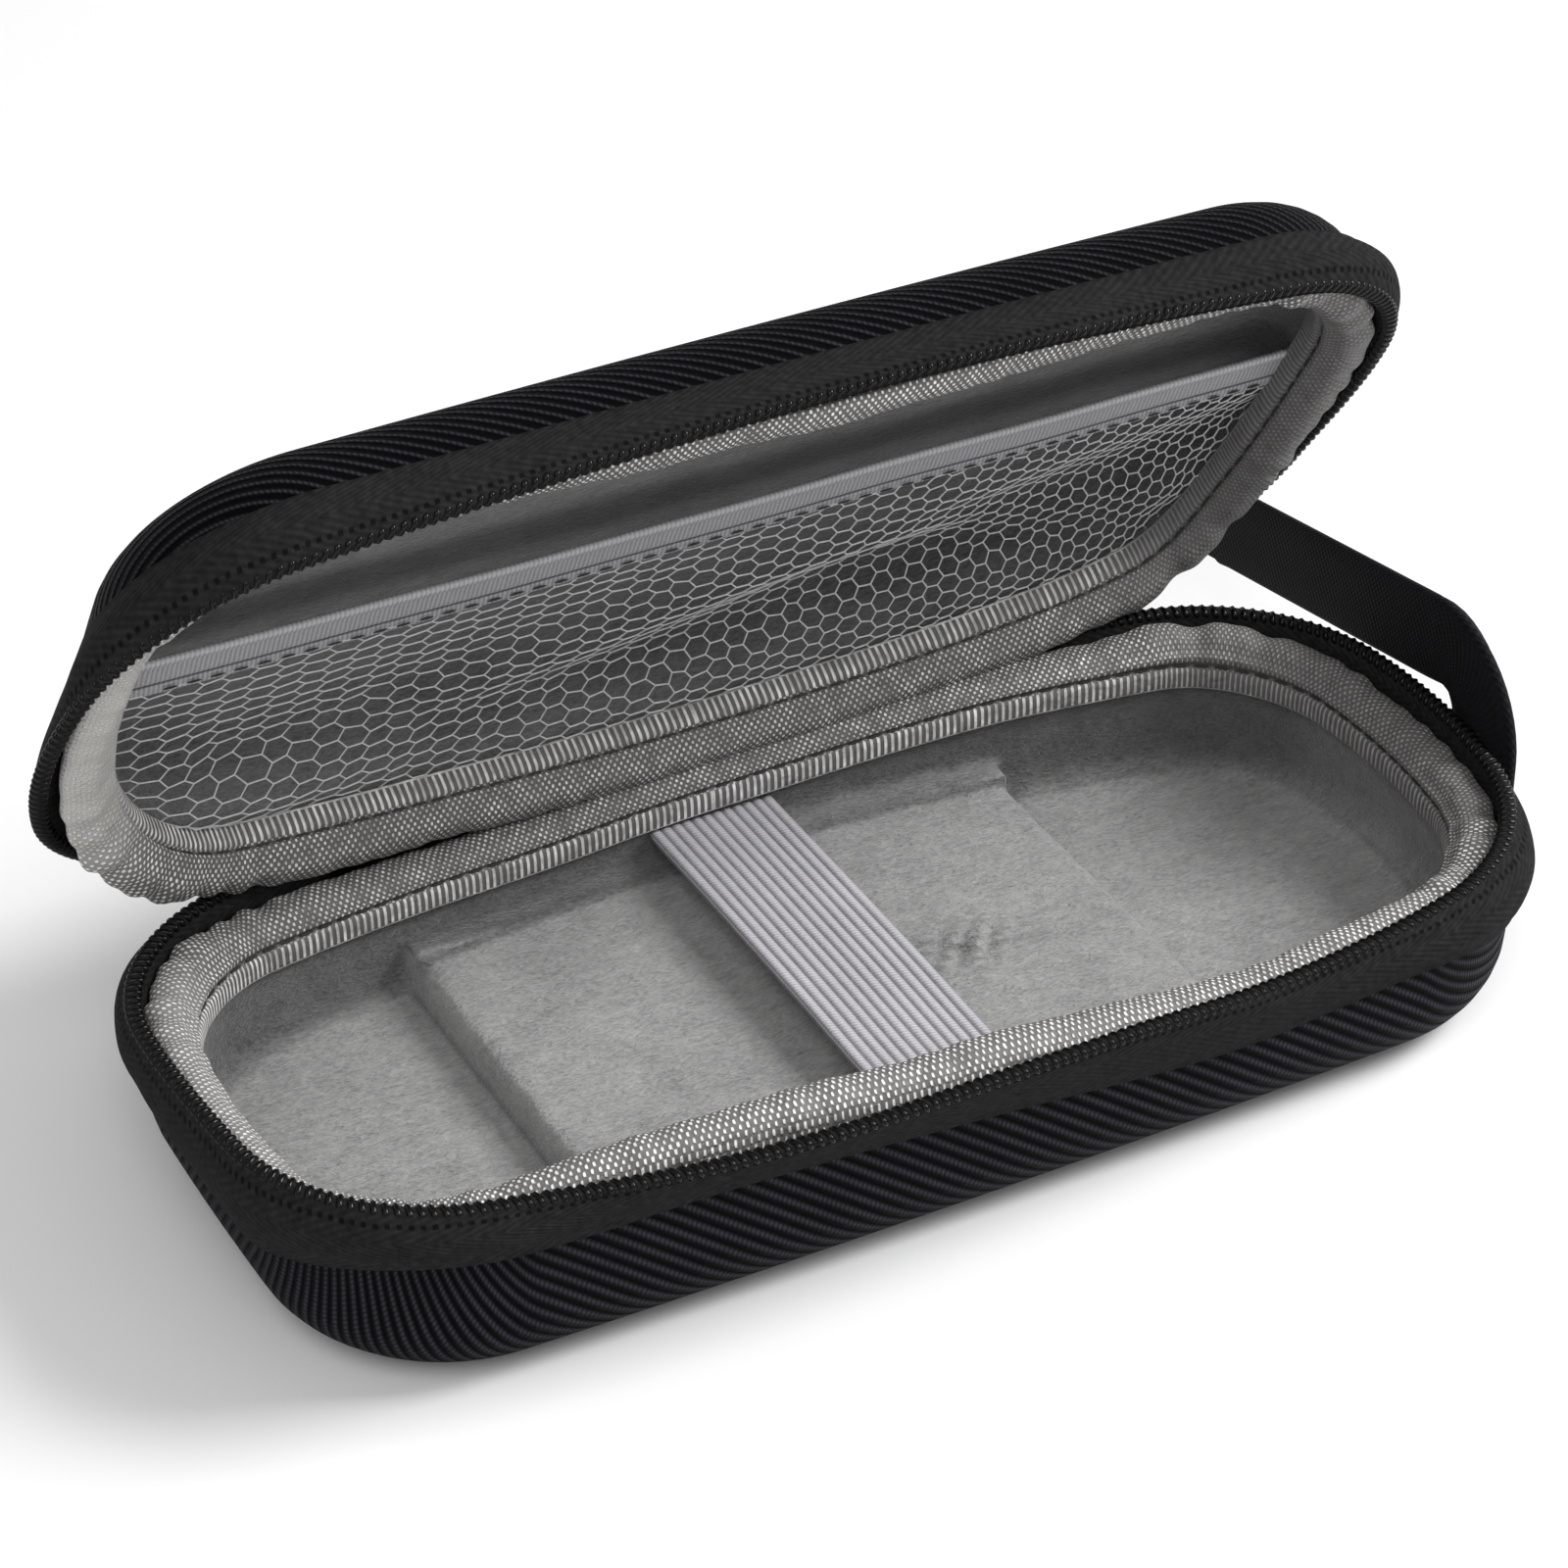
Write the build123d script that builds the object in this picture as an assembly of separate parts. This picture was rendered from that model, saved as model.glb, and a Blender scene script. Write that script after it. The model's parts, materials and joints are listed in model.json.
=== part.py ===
from build123d import *
from math import atan2, cos, degrees, hypot, radians, sin, sqrt
import os

# Zip case for a handheld game console: two moulded shells, a velvet tray, a net pocket, a coil zip.
# Frame: +X along the length, -Y the opening side, +Y the cloth hinge, +Z up.
# The origin is the middle of the base's underside. The lid is drawn shut and then turned open.

# Shells: outside of the moulded walls
shell_length = 193.0
shell_width = 90.0
shell_corner_radius = 28.0
shell_side_radius = 2500.0
shell_end_radius = 600.0
base_height = 27.5
lid_height = 19.5
shell_wall = 3.0
edge_radius = 11.0

# Zip line: the soft rim bows outwards along its sides and ends
zip_end_overhang = 3.5
zip_side_overhang = 3.0
zip_corner_radius = 31.0
zip_side_radius = 420.0
zip_end_radius = 110.0

# Fullest line of the zip band, a little away from the teeth
band_end_bulge = 1.2
band_side_bulge = 0.6
band_corner_radius = 30.0
band_side_radius = 700.0
band_end_radius = 250.0
band_drop = 5.0
band_shoulder = 2.2
band_shoulder_inset = 0.1

# Zip tape and teeth
tape_height = 12.0
tape_thickness = 0.9
tape_seat = 0.35
cloth_gap = 0.1
coil_pitch = 2.2
coil_tooth = 1.4
coil_inner = 1.4
coil_outer = 1.0
coil_height = 1.5
zip_gap = 0.2

# Binding folded over the rim: a padded cap, and a stitched flange on the inner wall
binding_drop = 4.7
cap_height = 2.6
cap_round = 1.2
cap_inset = 1.8
flange_inset = 9.4
flange_thickness = 1.3
base_flange_height = 4.0
binding_back_gap = 0.3
seam_gap = 0.1

# Velvet tray
tray_floor = 1.6
plateau_rise = 5.6
ledge_height = 1.6
ledge_width = 4.5
plateau_left = -50.5
plateau_right = 46.5
recess_round = 5.0
plateau_round = 2.4

# Velvet lining of the lid
lining_thickness = 1.2
lining_round = 4.5

# Elastic across the tray
strap_width = 20.0
strap_center = 0.2
strap_thickness = 1.3
strap_ribs = 12
rib_depth = 0.35
strap_gap = 0.2

# Cloth hinge at the back
hinge_half_length = 48.5
hinge_cloth = 1.1
hinge_overlap = 12.0
hinge_tongue_depth = 20.0
hinge_riser = 2.5
lid_open_angle = 58.7

# Net pocket in the lid
pocket_mouth = -10.0
pocket_mouth_depth = 8.6
pocket_back_depth = 3.4
pocket_gap = 0.2
net_thickness = 0.8
net_margin = 2.0
net_pitch = 9.6
net_cord = 1.5
pocket_elastic_width = 7.8
pocket_elastic_thickness = 1.4
pocket_elastic_ribs = 5

# Zip sliders, parked at the two ends of the zip
slider_length = 10.0
slider_width = 6.6
slider_plate = 1.1
slider_mouth = 2.4
slider_round = 1.4
slider_back = 1.15
slider_post_length = 4.0
slider_post_width = 1.6
slider_gap = 0.3
slider_clearance = 1.8
bail_bar = 1.4
bail_inside = 5.0
bail_post = 0.8
bail_drop = 2.2
bail_back = 1.3

# Pull tabs
tab_length = 18.5
tab_width = 5.6
tab_neck = 4.4
tab_neck_length = 5.0
tab_thickness = 1.5
tab_eye_wall = 0.9
tab_gap = 0.3
tab_hole = 2.6

# Wrist loop of webbing at the right end
webbing_width = 14.0
webbing_thickness = 1.4
webbing_gap = 1.0
loop_seat_gap = 0.3
loop_root_y = -15.0
loop_root_z = 15.5
loop_corner_z = 38.0
loop_tip_y = 97.5
loop_tip_z = 15.0
loop_open_y = 66.0
loop_radius = 6.5
loop_outer_bend = 16.0
loop_inner_bend = 5.0

# Heights and places that follow from these sizes
zip_length = shell_length + 2 * zip_end_overhang
zip_width = shell_width + 2 * zip_side_overhang
band_length = zip_length + 2 * band_end_bulge
band_width = zip_width + 2 * band_side_bulge
zip_start = hinge_half_length + slider_clearance + slider_length + slider_gap
rim_z = base_height
top_z = base_height + lid_height
base_wall_top = rim_z - binding_drop - cap_height
lid_wall_foot = rim_z + binding_drop + cap_height
hinge_y = shell_width / 2 + cloth_gap + hinge_cloth / 2
hinge_z = rim_z - binding_drop + zip_gap
tongue_foot = hinge_z + zip_gap
tongue_front = shell_width / 2 - hinge_tongue_depth
lid_flange_top = top_z - shell_wall - lining_thickness - lining_round
well_inset = flange_inset - flange_thickness - seam_gap
lining_inset = shell_wall + 2 * cloth_gap
far = 2 * zip_length
hinge_axis = Axis((0, hinge_y, hinge_z), (1, 0, 0))


def oval(length, width, corner, side, end, inset=0.0):
    """Face bounded by eight tangent arcs; an inset keeps their centres and shortens their radii."""
    side_y = width / 2 - side
    end_x = length / 2 - end
    reach = hypot(end_x, side_y)
    along = ((side - corner) ** 2 - (end - corner) ** 2 + reach**2) / (2 * reach)
    across = sqrt((side - corner) ** 2 - along**2)
    corner_x = (end_x * along - side_y * across) / reach
    corner_y = side_y - (side_y * along + end_x * across) / reach
    first = degrees(atan2(corner_y, corner_x - end_x))
    last = degrees(atan2(corner_y - side_y, corner_x))
    bend = last - first
    arcs = [
        CenterArc((end_x, 0), end - inset, -first, 2 * first),
        CenterArc((corner_x, corner_y), corner - inset, first, bend),
        CenterArc((0, side_y), side - inset, last, 180 - 2 * last),
        CenterArc((-corner_x, corner_y), corner - inset, 180 - last, bend),
        CenterArc((-end_x, 0), end - inset, 180 - first, 2 * first),
        CenterArc((-corner_x, -corner_y), corner - inset, 180 + first, bend),
        CenterArc((0, -side_y), side - inset, 180 + last, 180 - 2 * last),
        CenterArc((corner_x, -corner_y), corner - inset, 360 - last, bend),
    ]
    return make_face(arcs)


def shell_face(inset=0.0):
    """Outline of the moulded shell, moved inwards by inset."""
    return oval(
        shell_length, shell_width, shell_corner_radius, shell_side_radius, shell_end_radius, inset
    )


def zip_face(inset=0.0):
    """Outline of the zip line, moved inwards by inset."""
    return oval(zip_length, zip_width, zip_corner_radius, zip_side_radius, zip_end_radius, inset)


def band_face(inset=0.0):
    """Fullest outline of the zip band, moved inwards by inset."""
    return oval(
        band_length, band_width, band_corner_radius, band_side_radius, band_end_radius, inset
    )


def slab(face, low, high):
    """Upright prism of a face between two heights."""
    return extrude(Pos(0, 0, low) * face, high - low)


def block(x0, x1, y0, y1, z0, z1):
    """Box given by its low and high corners."""
    return Pos((x0 + x1) / 2, (y0 + y1) / 2, (z0 + z1) / 2) * Box(x1 - x0, y1 - y0, z1 - z0)


def flat_edges(solid, z):
    """Edges that lie flat at one height."""
    return [e for e in solid.edges() if abs(e.center().Z - z) < 1e-4 and abs((e @ 0).Z - z) < 1e-4]


def round_foot(solid, z, radius):
    """Solid with the edges of its flat underside rounded."""
    return fillet(flat_edges(solid, z), radius)


def behind(x_limit):
    """Tall room behind the tongue's front, as wide as the stretch that is given."""
    return block(-x_limit, x_limit, tongue_front, far, -far, far)


def on_lid(shape):
    """Shape drawn with its opening up, set upside down as the shut lid."""
    return Pos(0, 0, top_z) * shape.rotate(Axis.X, 180)


def opened(shape):
    """Shape drawn on the shut lid, turned about the hinge to the open lid."""
    return shape.rotate(hinge_axis, -lid_open_angle)


def raise_foot(shape, foot):
    """Lid wall cut off at foot everywhere but on the tongue at the hinge."""
    below = block(-far, far, -far, far, -far, foot)
    return shape - (below - behind(hinge_half_length))


def moulded_cup(top):
    """Foam shell with a rounded floor edge, standing on its flat face."""
    outer = round_foot(slab(shell_face(), 0, top), 0, edge_radius)
    room = slab(shell_face(shell_wall), shell_wall, top + shell_wall)
    return outer - round_foot(room, shell_wall, edge_radius - shell_wall)


def lining_blank(top):
    """Solid that fills a shell, with a small gap to its walls."""
    blank = slab(shell_face(lining_inset), shell_wall, top)
    return round_foot(blank, shell_wall, edge_radius - shell_wall)


def zip_band(top, bulge, foot):
    """Bowed tape between the teeth, the band's fullest line and the shell's wall."""
    shoulder = band_shoulder if top > bulge else -band_shoulder

    def skin(inset):
        sections = [
            Pos(0, 0, foot) * shell_face(inset - tape_thickness - tape_seat),
            Pos(0, 0, bulge - shoulder) * band_face(inset + band_shoulder_inset),
            Pos(0, 0, bulge) * band_face(inset),
            Pos(0, 0, top) * zip_face(inset - coil_outer),
        ]
        return loft(sections, ruled=True)

    window = block(-zip_start, zip_start, 0, far, -far, far)
    return skin(0) - skin(tape_thickness) - window


def zip_teeth(low):
    """Row of coil teeth along the zip line, standing on low."""
    tooth = Box(coil_tooth, coil_inner + coil_outer, coil_height)
    shift = (coil_inner - coil_outer) / 2
    teeth = []
    for edge in zip_face().edges():
        count = round(edge.length / coil_pitch)
        for step in range(count):
            place = (step + 0.5) / count
            spot = edge @ place
            if spot.Y > 0 and abs(spot.X) < zip_start + coil_tooth:
                continue
            inwards = degrees(atan2(-spot.Y, -spot.X))
            run = edge % place
            turn = degrees(atan2(run.Y, run.X))
            side = 1 if sin(radians(inwards - turn)) > 0 else -1
            seat = Pos(spot.X, spot.Y, low + coil_height / 2) * Rot(0, 0, turn)
            teeth.append(seat * Pos(0, side * shift, 0) * tooth)
    return Compound(children=teeth)


def ring(outer, inner, low, high):
    """Upright ring between two insets of the zip line, cut straight at the hinge."""
    wall = slab(zip_face(outer), low, high) - slab(zip_face(inner), low - 1, high + 1)
    return wall & block(-far, far, -far, shell_width / 2 - binding_back_gap, -far, far)


def base_shell():
    """Moulded foam shell of the base."""
    return moulded_cup(base_wall_top)


def console_tray():
    """Velvet insert with a raised middle and a deeper recess at each end."""
    floor = shell_wall + tray_floor
    plateau = floor + plateau_rise
    ledge = plateau + ledge_height
    tray = lining_blank(base_wall_top)
    tray -= slab(zip_face(well_inset), ledge, rim_z)
    tray -= slab(zip_face(well_inset + ledge_width), plateau, rim_z) & block(
        plateau_left, plateau_right, -far, far, 0, rim_z
    )
    for x0, x1 in ((-far, plateau_left), (plateau_right, far)):
        recess = slab(zip_face(well_inset), floor, rim_z) & block(x0, x1, -far, far, 0, rim_z)
        round_edges = [e for e in flat_edges(recess, floor) if e.geom_type == GeomType.CIRCLE]
        tray -= fillet(round_edges, recess_round)
    steps = []
    for edge in flat_edges(tray, plateau):
        if abs((edge % 0.5).X) < 0.01 and edge.length > shell_width / 3:
            steps.append(edge)
    return fillet(steps, plateau_round)


def base_zip_tape():
    """Woven zip tape round the base."""
    return zip_band(rim_z - zip_gap - coil_height, rim_z - band_drop, rim_z - tape_height)


def base_zip_coil():
    """Coil teeth of the base."""
    return zip_teeth(rim_z - zip_gap - coil_height)


def base_binding():
    """Binding over the base's rim."""
    cap = ring(cap_inset, flange_inset, base_wall_top, base_wall_top + cap_height)
    cap = fillet(flat_edges(cap, base_wall_top + cap_height), cap_round)
    flange = ring(
        flange_inset - flange_thickness,
        flange_inset,
        base_wall_top - base_flange_height,
        base_wall_top,
    )
    return cap + flange


def ribbed_section(width, thickness, ribs):
    """Section of a ribbed elastic, flat below and with a row of low round ribs on top."""
    pitch = width / ribs
    valley = thickness / 2 - rib_depth
    edges = []
    for rib in range(ribs):
        start = -width / 2 + rib * pitch
        crown = (start + pitch / 2, thickness / 2)
        edges.append(ThreePointArc((start, valley), crown, (start + pitch, valley)))
    foot = -thickness / 2
    edges.append(Polyline((-width / 2, valley), (-width / 2, foot), (width / 2, foot), (width / 2, valley)))
    return make_face(Curve() + edges)


def retaining_strap():
    """Ribbed elastic that runs across the tray, just under the binding's flange."""
    high = base_wall_top - base_flange_height - strap_gap
    section = Plane.XZ * ribbed_section(strap_width, strap_thickness, strap_ribs)
    band = extrude(section, far, both=True)
    room = slab(zip_face(well_inset + strap_gap), 0, rim_z)
    return Pos(strap_center, 0, high - strap_thickness / 2) * band & room


def lid_shell():
    """Moulded foam shell of the lid, with a tongue down to the hinge."""
    return raise_foot(on_lid(moulded_cup(top_z - tongue_foot - cap_height)), lid_wall_foot)


def lid_lining():
    """Velvet lining of the lid."""
    ceiling = shell_wall + lining_thickness
    depth = top_z - tongue_foot - cap_height
    room = slab(zip_face(well_inset), ceiling, top_z)
    room = round_foot(room, ceiling, lining_round)
    return raise_foot(on_lid(lining_blank(depth) - room), lid_wall_foot)


def lid_zip_tape():
    """Woven zip tape round the lid."""
    return zip_band(rim_z + zip_gap + coil_height, rim_z + band_drop, rim_z + tape_height)


def lid_zip_coil():
    """Coil teeth of the lid."""
    return zip_teeth(rim_z + zip_gap)


def lid_binding():
    """Binding over the lid's rim, dropped to the fold along the hinge."""
    cap_foot = lid_wall_foot - cap_height
    flange_outer = flange_inset - flange_thickness
    body = ring(cap_inset, flange_inset, cap_foot, lid_wall_foot)
    body += ring(flange_outer, flange_inset, lid_wall_foot, lid_flange_top)
    body -= behind(hinge_half_length)
    tongue = ring(cap_inset, flange_inset, tongue_foot, tongue_foot + cap_height)
    tongue += ring(flange_outer, flange_inset, tongue_foot + cap_height, cap_foot)
    riser = ring(flange_outer, flange_inset, cap_foot, lid_flange_top)
    riser -= behind(hinge_half_length - hinge_riser)
    tongue = (tongue + riser) & behind(hinge_half_length)
    return body + tongue


def pocket_plane():
    """Plane of the net pocket on the shut lid, with its origin on the mouth's front edge."""
    back = zip_width / 2 - flange_inset
    fall = pocket_mouth_depth - pocket_back_depth
    slope = degrees(atan2(-fall, back - pocket_mouth))
    return Pos(0, pocket_mouth, rim_z + pocket_mouth_depth) * Rot(slope, 0, 0)


def pocket_room():
    """Space inside the binding's flange that the pocket spans."""
    return slab(zip_face(flange_inset + pocket_gap), rim_z, top_z)


def mesh_pocket():
    """Net with hexagonal openings from the elastic back to the hinge-side binding."""
    place = pocket_plane()
    start = pocket_elastic_width + pocket_gap
    length = zip_width / 2 - pocket_mouth
    sheet = Pos(0, start + length / 2, 0) * Rectangle(zip_length, length)
    clear = zip_face(flange_inset + pocket_gap + net_margin + net_pitch / 2)
    limit = clear.face()
    row_step = net_pitch * cos(radians(30))
    rows = int(length / row_step)
    columns = int(zip_length / net_pitch)
    hole = RegularPolygon((net_pitch - net_cord) / 2, 6, major_radius=False, rotation=30)
    for row in range(rows):
        y = start + net_margin + net_pitch / 2 + row * row_step
        for column in range(-columns, columns + 1):
            x = (column + (row % 2) / 2) * net_pitch
            if limit.is_inside((x, y + pocket_mouth, 0)):
                sheet -= Pos(x, y, 0) * hole
    return (place * extrude(sheet, net_thickness)) & pocket_room()


def pocket_elastic():
    """Ribbed elastic along the pocket's mouth."""
    section = ribbed_section(pocket_elastic_width, pocket_elastic_thickness, pocket_elastic_ribs)
    strip = extrude(Plane.YZ * section.mirror(Plane.XZ), far, both=True)
    return (pocket_plane() * Pos(0, pocket_elastic_width / 2, 0) * strip) & pocket_room()


def hinge_panel():
    """Cloth strip from the base's back wall over the fold to the lid's back wall."""
    half = hinge_cloth / 2
    wide = hinge_half_length
    lower = block(-wide, wide, hinge_y - half, hinge_y + half, hinge_z - hinge_overlap, hinge_z)
    upper = block(-wide, wide, hinge_y - half, hinge_y + half, hinge_z, hinge_z + hinge_overlap)
    fold = Pos(0, hinge_y, hinge_z) * Rot(0, 90, 0) * Cylinder(half, 2 * wide)
    return lower + opened(upper) + fold


def slider_middle():
    """Middle of the right-hand slider's mouth."""
    x = zip_start - slider_gap - slider_length / 2
    return Vector(x, hinge_y + slider_back, rim_z - coil_height / 2)


def bail_line():
    """Middle of the right-hand slider's bail bar."""
    middle = slider_middle()
    drop = slider_mouth / 2 + slider_plate + bail_drop
    return Vector(middle.X, middle.Y + bail_back, middle.Z - drop)


def zip_slider(side):
    """Die-cast slider: two plates, the wedge post between them and the bail below."""
    middle = slider_middle()
    bar = bail_line()
    plate = RectangleRounded(slider_length, slider_width, slider_round)
    body = slab(plate, slider_mouth / 2, slider_mouth / 2 + slider_plate)
    body += slab(plate, -slider_mouth / 2 - slider_plate, -slider_mouth / 2)
    nose = slider_length / 2 - slider_post_length
    wedge = make_face(
        Polyline(
            (nose, -slider_post_width / 2),
            (nose + slider_post_length, 0),
            (nose, slider_post_width / 2),
            (-slider_length / 2 + slider_round, 0),
            close=True,
        )
    )
    body += slab(wedge, -slider_mouth / 2, slider_mouth / 2)
    body = Pos(*middle) * body
    half = bail_inside / 2
    plate_foot = middle.Z - slider_mouth / 2 - slider_plate
    bail = Pos(*bar) * Rot(0, 90, 0) * Cylinder(bail_bar / 2, bail_inside + 2 * bail_post)
    for x0, x1 in ((-half - bail_post, -half), (half, half + bail_post)):
        bail += block(
            bar.X + x0, bar.X + x1, bar.Y - bail_bar / 2, bar.Y + bail_bar / 2, bar.Z, plate_foot
        )
    slider = body + bail
    return slider if side > 0 else slider.mirror(Plane.YZ)


def pull_tab(side):
    """Tab that hangs from the bail by a rolled eye."""
    bar = bail_line()
    inner = bail_bar / 2 + tab_gap
    eye_width = bail_inside - 2 * tab_gap
    eye = Rot(0, 90, 0) * (Cylinder(inner + tab_eye_wall, eye_width) - Cylinder(inner, far))
    top = -inner - tab_eye_wall / 2
    neck_foot = top - tab_neck_length
    outline = Pos(0, (top + neck_foot) / 2) * Rectangle(tab_neck, tab_neck_length)
    leaf_length = tab_length + neck_foot
    outline += Pos(0, neck_foot - leaf_length / 2) * RectangleRounded(
        tab_width, leaf_length, tab_width / 2 - tab_gap
    )
    outline -= Pos(0, -tab_length + tab_width / 2) * Circle(tab_hole / 2)
    leaf = extrude(Plane.XZ * outline, tab_thickness / 2, both=True)
    tab = Pos(*bar) * (eye + leaf)
    return tab if side > 0 else tab.mirror(Plane.YZ)


def wrist_strap():
    """Webbing loop: the plan of the loop cut to its side view."""
    near = band_length / 2 + loop_seat_gap + webbing_thickness
    wide = 2 * loop_radius
    root_back = loop_root_y + webbing_width / 2
    root_front = loop_root_y - webbing_width / 2
    hole = make_face(
        Polyline(
            (near, root_back),
            (near + webbing_gap, root_back),
            (near + webbing_gap, loop_open_y),
            (near + wide, loop_tip_y),
            (near, loop_tip_y),
            close=True,
        )
    )
    hole += Pos(near + loop_radius, loop_tip_y) * Circle(loop_radius)
    plan = offset(hole, webbing_thickness)
    root_x0 = near - webbing_thickness
    root_x1 = near + webbing_gap + webbing_thickness
    root = Pos((root_x0 + root_x1) / 2, loop_root_y) * Rectangle(root_x1 - root_x0, webbing_width)
    plan = plan + root - hole
    tip_end = loop_tip_y + loop_radius + 2 * webbing_thickness
    slope = (loop_tip_z - loop_corner_z) / (tip_end - loop_root_y)
    rise = webbing_width / 2 * sqrt(1 + slope**2)

    def line_z(y):
        return loop_corner_z + slope * (y - loop_root_y)

    side = make_face(
        Polyline(
            (root_front, loop_root_z),
            (root_front, line_z(root_front) + rise),
            (tip_end, line_z(tip_end) + rise),
            (tip_end, line_z(tip_end) - rise),
            (root_back, line_z(root_back) - rise),
            (root_back, loop_root_z),
            close=True,
        )
    )
    corners = side.vertices()
    upper = corners.sort_by_distance((root_front, line_z(root_front) + rise, 0))[0]
    lower = corners.sort_by_distance((root_back, line_z(root_back) - rise, 0))[0]
    side = fillet(upper, loop_outer_bend)
    lower = side.vertices().sort_by_distance((lower.X, lower.Y, 0))[0]
    side = fillet(lower, loop_inner_bend)
    band = extrude(Plane.YZ * side, far)
    return slab(plan, 0, top_z) & band


parts = {
    "base_shell": base_shell(),
    "console_tray": console_tray(),
    "base_zip_tape": base_zip_tape(),
    "base_zip_coil": base_zip_coil(),
    "base_binding": base_binding(),
    "retaining_strap": retaining_strap(),
    "wrist_strap": wrist_strap(),
    "lid_shell": opened(lid_shell()),
    "lid_lining": opened(lid_lining()),
    "lid_zip_tape": opened(lid_zip_tape()),
    "lid_zip_coil": opened(lid_zip_coil()),
    "lid_binding": opened(lid_binding()),
    "mesh_pocket": opened(mesh_pocket()),
    "pocket_elastic": opened(pocket_elastic()),
    "hinge_panel": hinge_panel(),
    "zip_slider_right": zip_slider(1),
    "zip_slider_left": zip_slider(-1),
    "pull_tab_right": pull_tab(1),
    "pull_tab_left": pull_tab(-1),
}

os.makedirs("parts", exist_ok=True)
for name, shape in parts.items():
    export_step(shape, f"parts/{name}.step")
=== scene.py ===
import json
import logging
import math
from dataclasses import dataclass
from enum import Enum
from functools import lru_cache

import bpy
import numpy as np
from mathutils import Matrix, Vector


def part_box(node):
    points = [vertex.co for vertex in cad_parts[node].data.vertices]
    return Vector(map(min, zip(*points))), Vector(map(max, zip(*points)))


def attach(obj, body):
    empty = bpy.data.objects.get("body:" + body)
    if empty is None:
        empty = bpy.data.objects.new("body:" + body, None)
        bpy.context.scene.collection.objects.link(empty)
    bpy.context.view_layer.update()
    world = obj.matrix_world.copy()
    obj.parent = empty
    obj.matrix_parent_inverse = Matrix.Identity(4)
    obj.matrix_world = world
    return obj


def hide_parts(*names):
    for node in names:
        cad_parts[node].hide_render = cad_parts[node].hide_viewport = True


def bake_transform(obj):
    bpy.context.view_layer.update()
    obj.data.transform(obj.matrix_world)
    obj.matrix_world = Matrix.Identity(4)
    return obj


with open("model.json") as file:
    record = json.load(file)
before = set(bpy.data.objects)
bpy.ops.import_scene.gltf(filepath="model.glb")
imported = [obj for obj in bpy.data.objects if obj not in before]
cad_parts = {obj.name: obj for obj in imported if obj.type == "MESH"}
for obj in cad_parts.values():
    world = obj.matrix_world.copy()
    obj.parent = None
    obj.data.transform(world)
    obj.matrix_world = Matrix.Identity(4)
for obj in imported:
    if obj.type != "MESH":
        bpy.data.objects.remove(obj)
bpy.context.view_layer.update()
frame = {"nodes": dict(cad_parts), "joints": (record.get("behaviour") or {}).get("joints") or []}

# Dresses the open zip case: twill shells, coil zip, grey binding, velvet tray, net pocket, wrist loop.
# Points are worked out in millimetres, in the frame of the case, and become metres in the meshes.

LOG = logging.getLogger("zip_case")
MM = 0.001

Array = np.ndarray
Color = tuple[float, float, float]
Socket = bpy.types.NodeSocket
Piece = bpy.types.Object

LID_JOINT = next(joint for joint in frame["joints"] if joint["name"] == "lid_hinge")
HINGE_Y = LID_JOINT["pos_m"][1] / MM
HINGE_Z = LID_JOINT["pos_m"][2] / MM
OPEN_ANGLE = math.radians(-LID_JOINT["range_deg"][0])
TEETH_GAP = 0.2
RIM_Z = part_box("base_zip_coil")[1].z / MM + TEETH_GAP
LID_HEIGHT = 19.5
TOP_Z = RIM_Z + LID_HEIGHT
BACK_LIMIT = 44.7
TONGUE_HALF = 48.5
ZIP_START = 60.6


def opened(points: Array) -> Array:
    """Turns points of the shut lid about the cloth hinge.

    Args:
        points: places on the shut lid, with x, y and z in the last axis.

    Returns:
        The places on the open lid.
    """
    y = points[..., 1] - HINGE_Y
    z = points[..., 2] - HINGE_Z
    turn, lift = math.cos(OPEN_ANGLE), math.sin(OPEN_ANGLE)
    return np.stack([points[..., 0], HINGE_Y + y * turn + z * lift, HINGE_Z - y * lift + z * turn], -1)


class Half(Enum):
    """The case's two halves: what is sewn to the lid's rim mirrors what is sewn to the base's rim."""

    BASE = "base"
    LID = "lid"

    def place(self, points: Array) -> Array:
        """Moves points drawn on the base's side of the zip to this half.

        Args:
            points: places below the zip line.

        Returns:
            The same places on the base, or their mirror image on the open lid.
        """
        if self is Half.BASE:
            return points
        return opened(points * [1, 1, -1] + [0, 0, 2 * RIM_Z])


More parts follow.
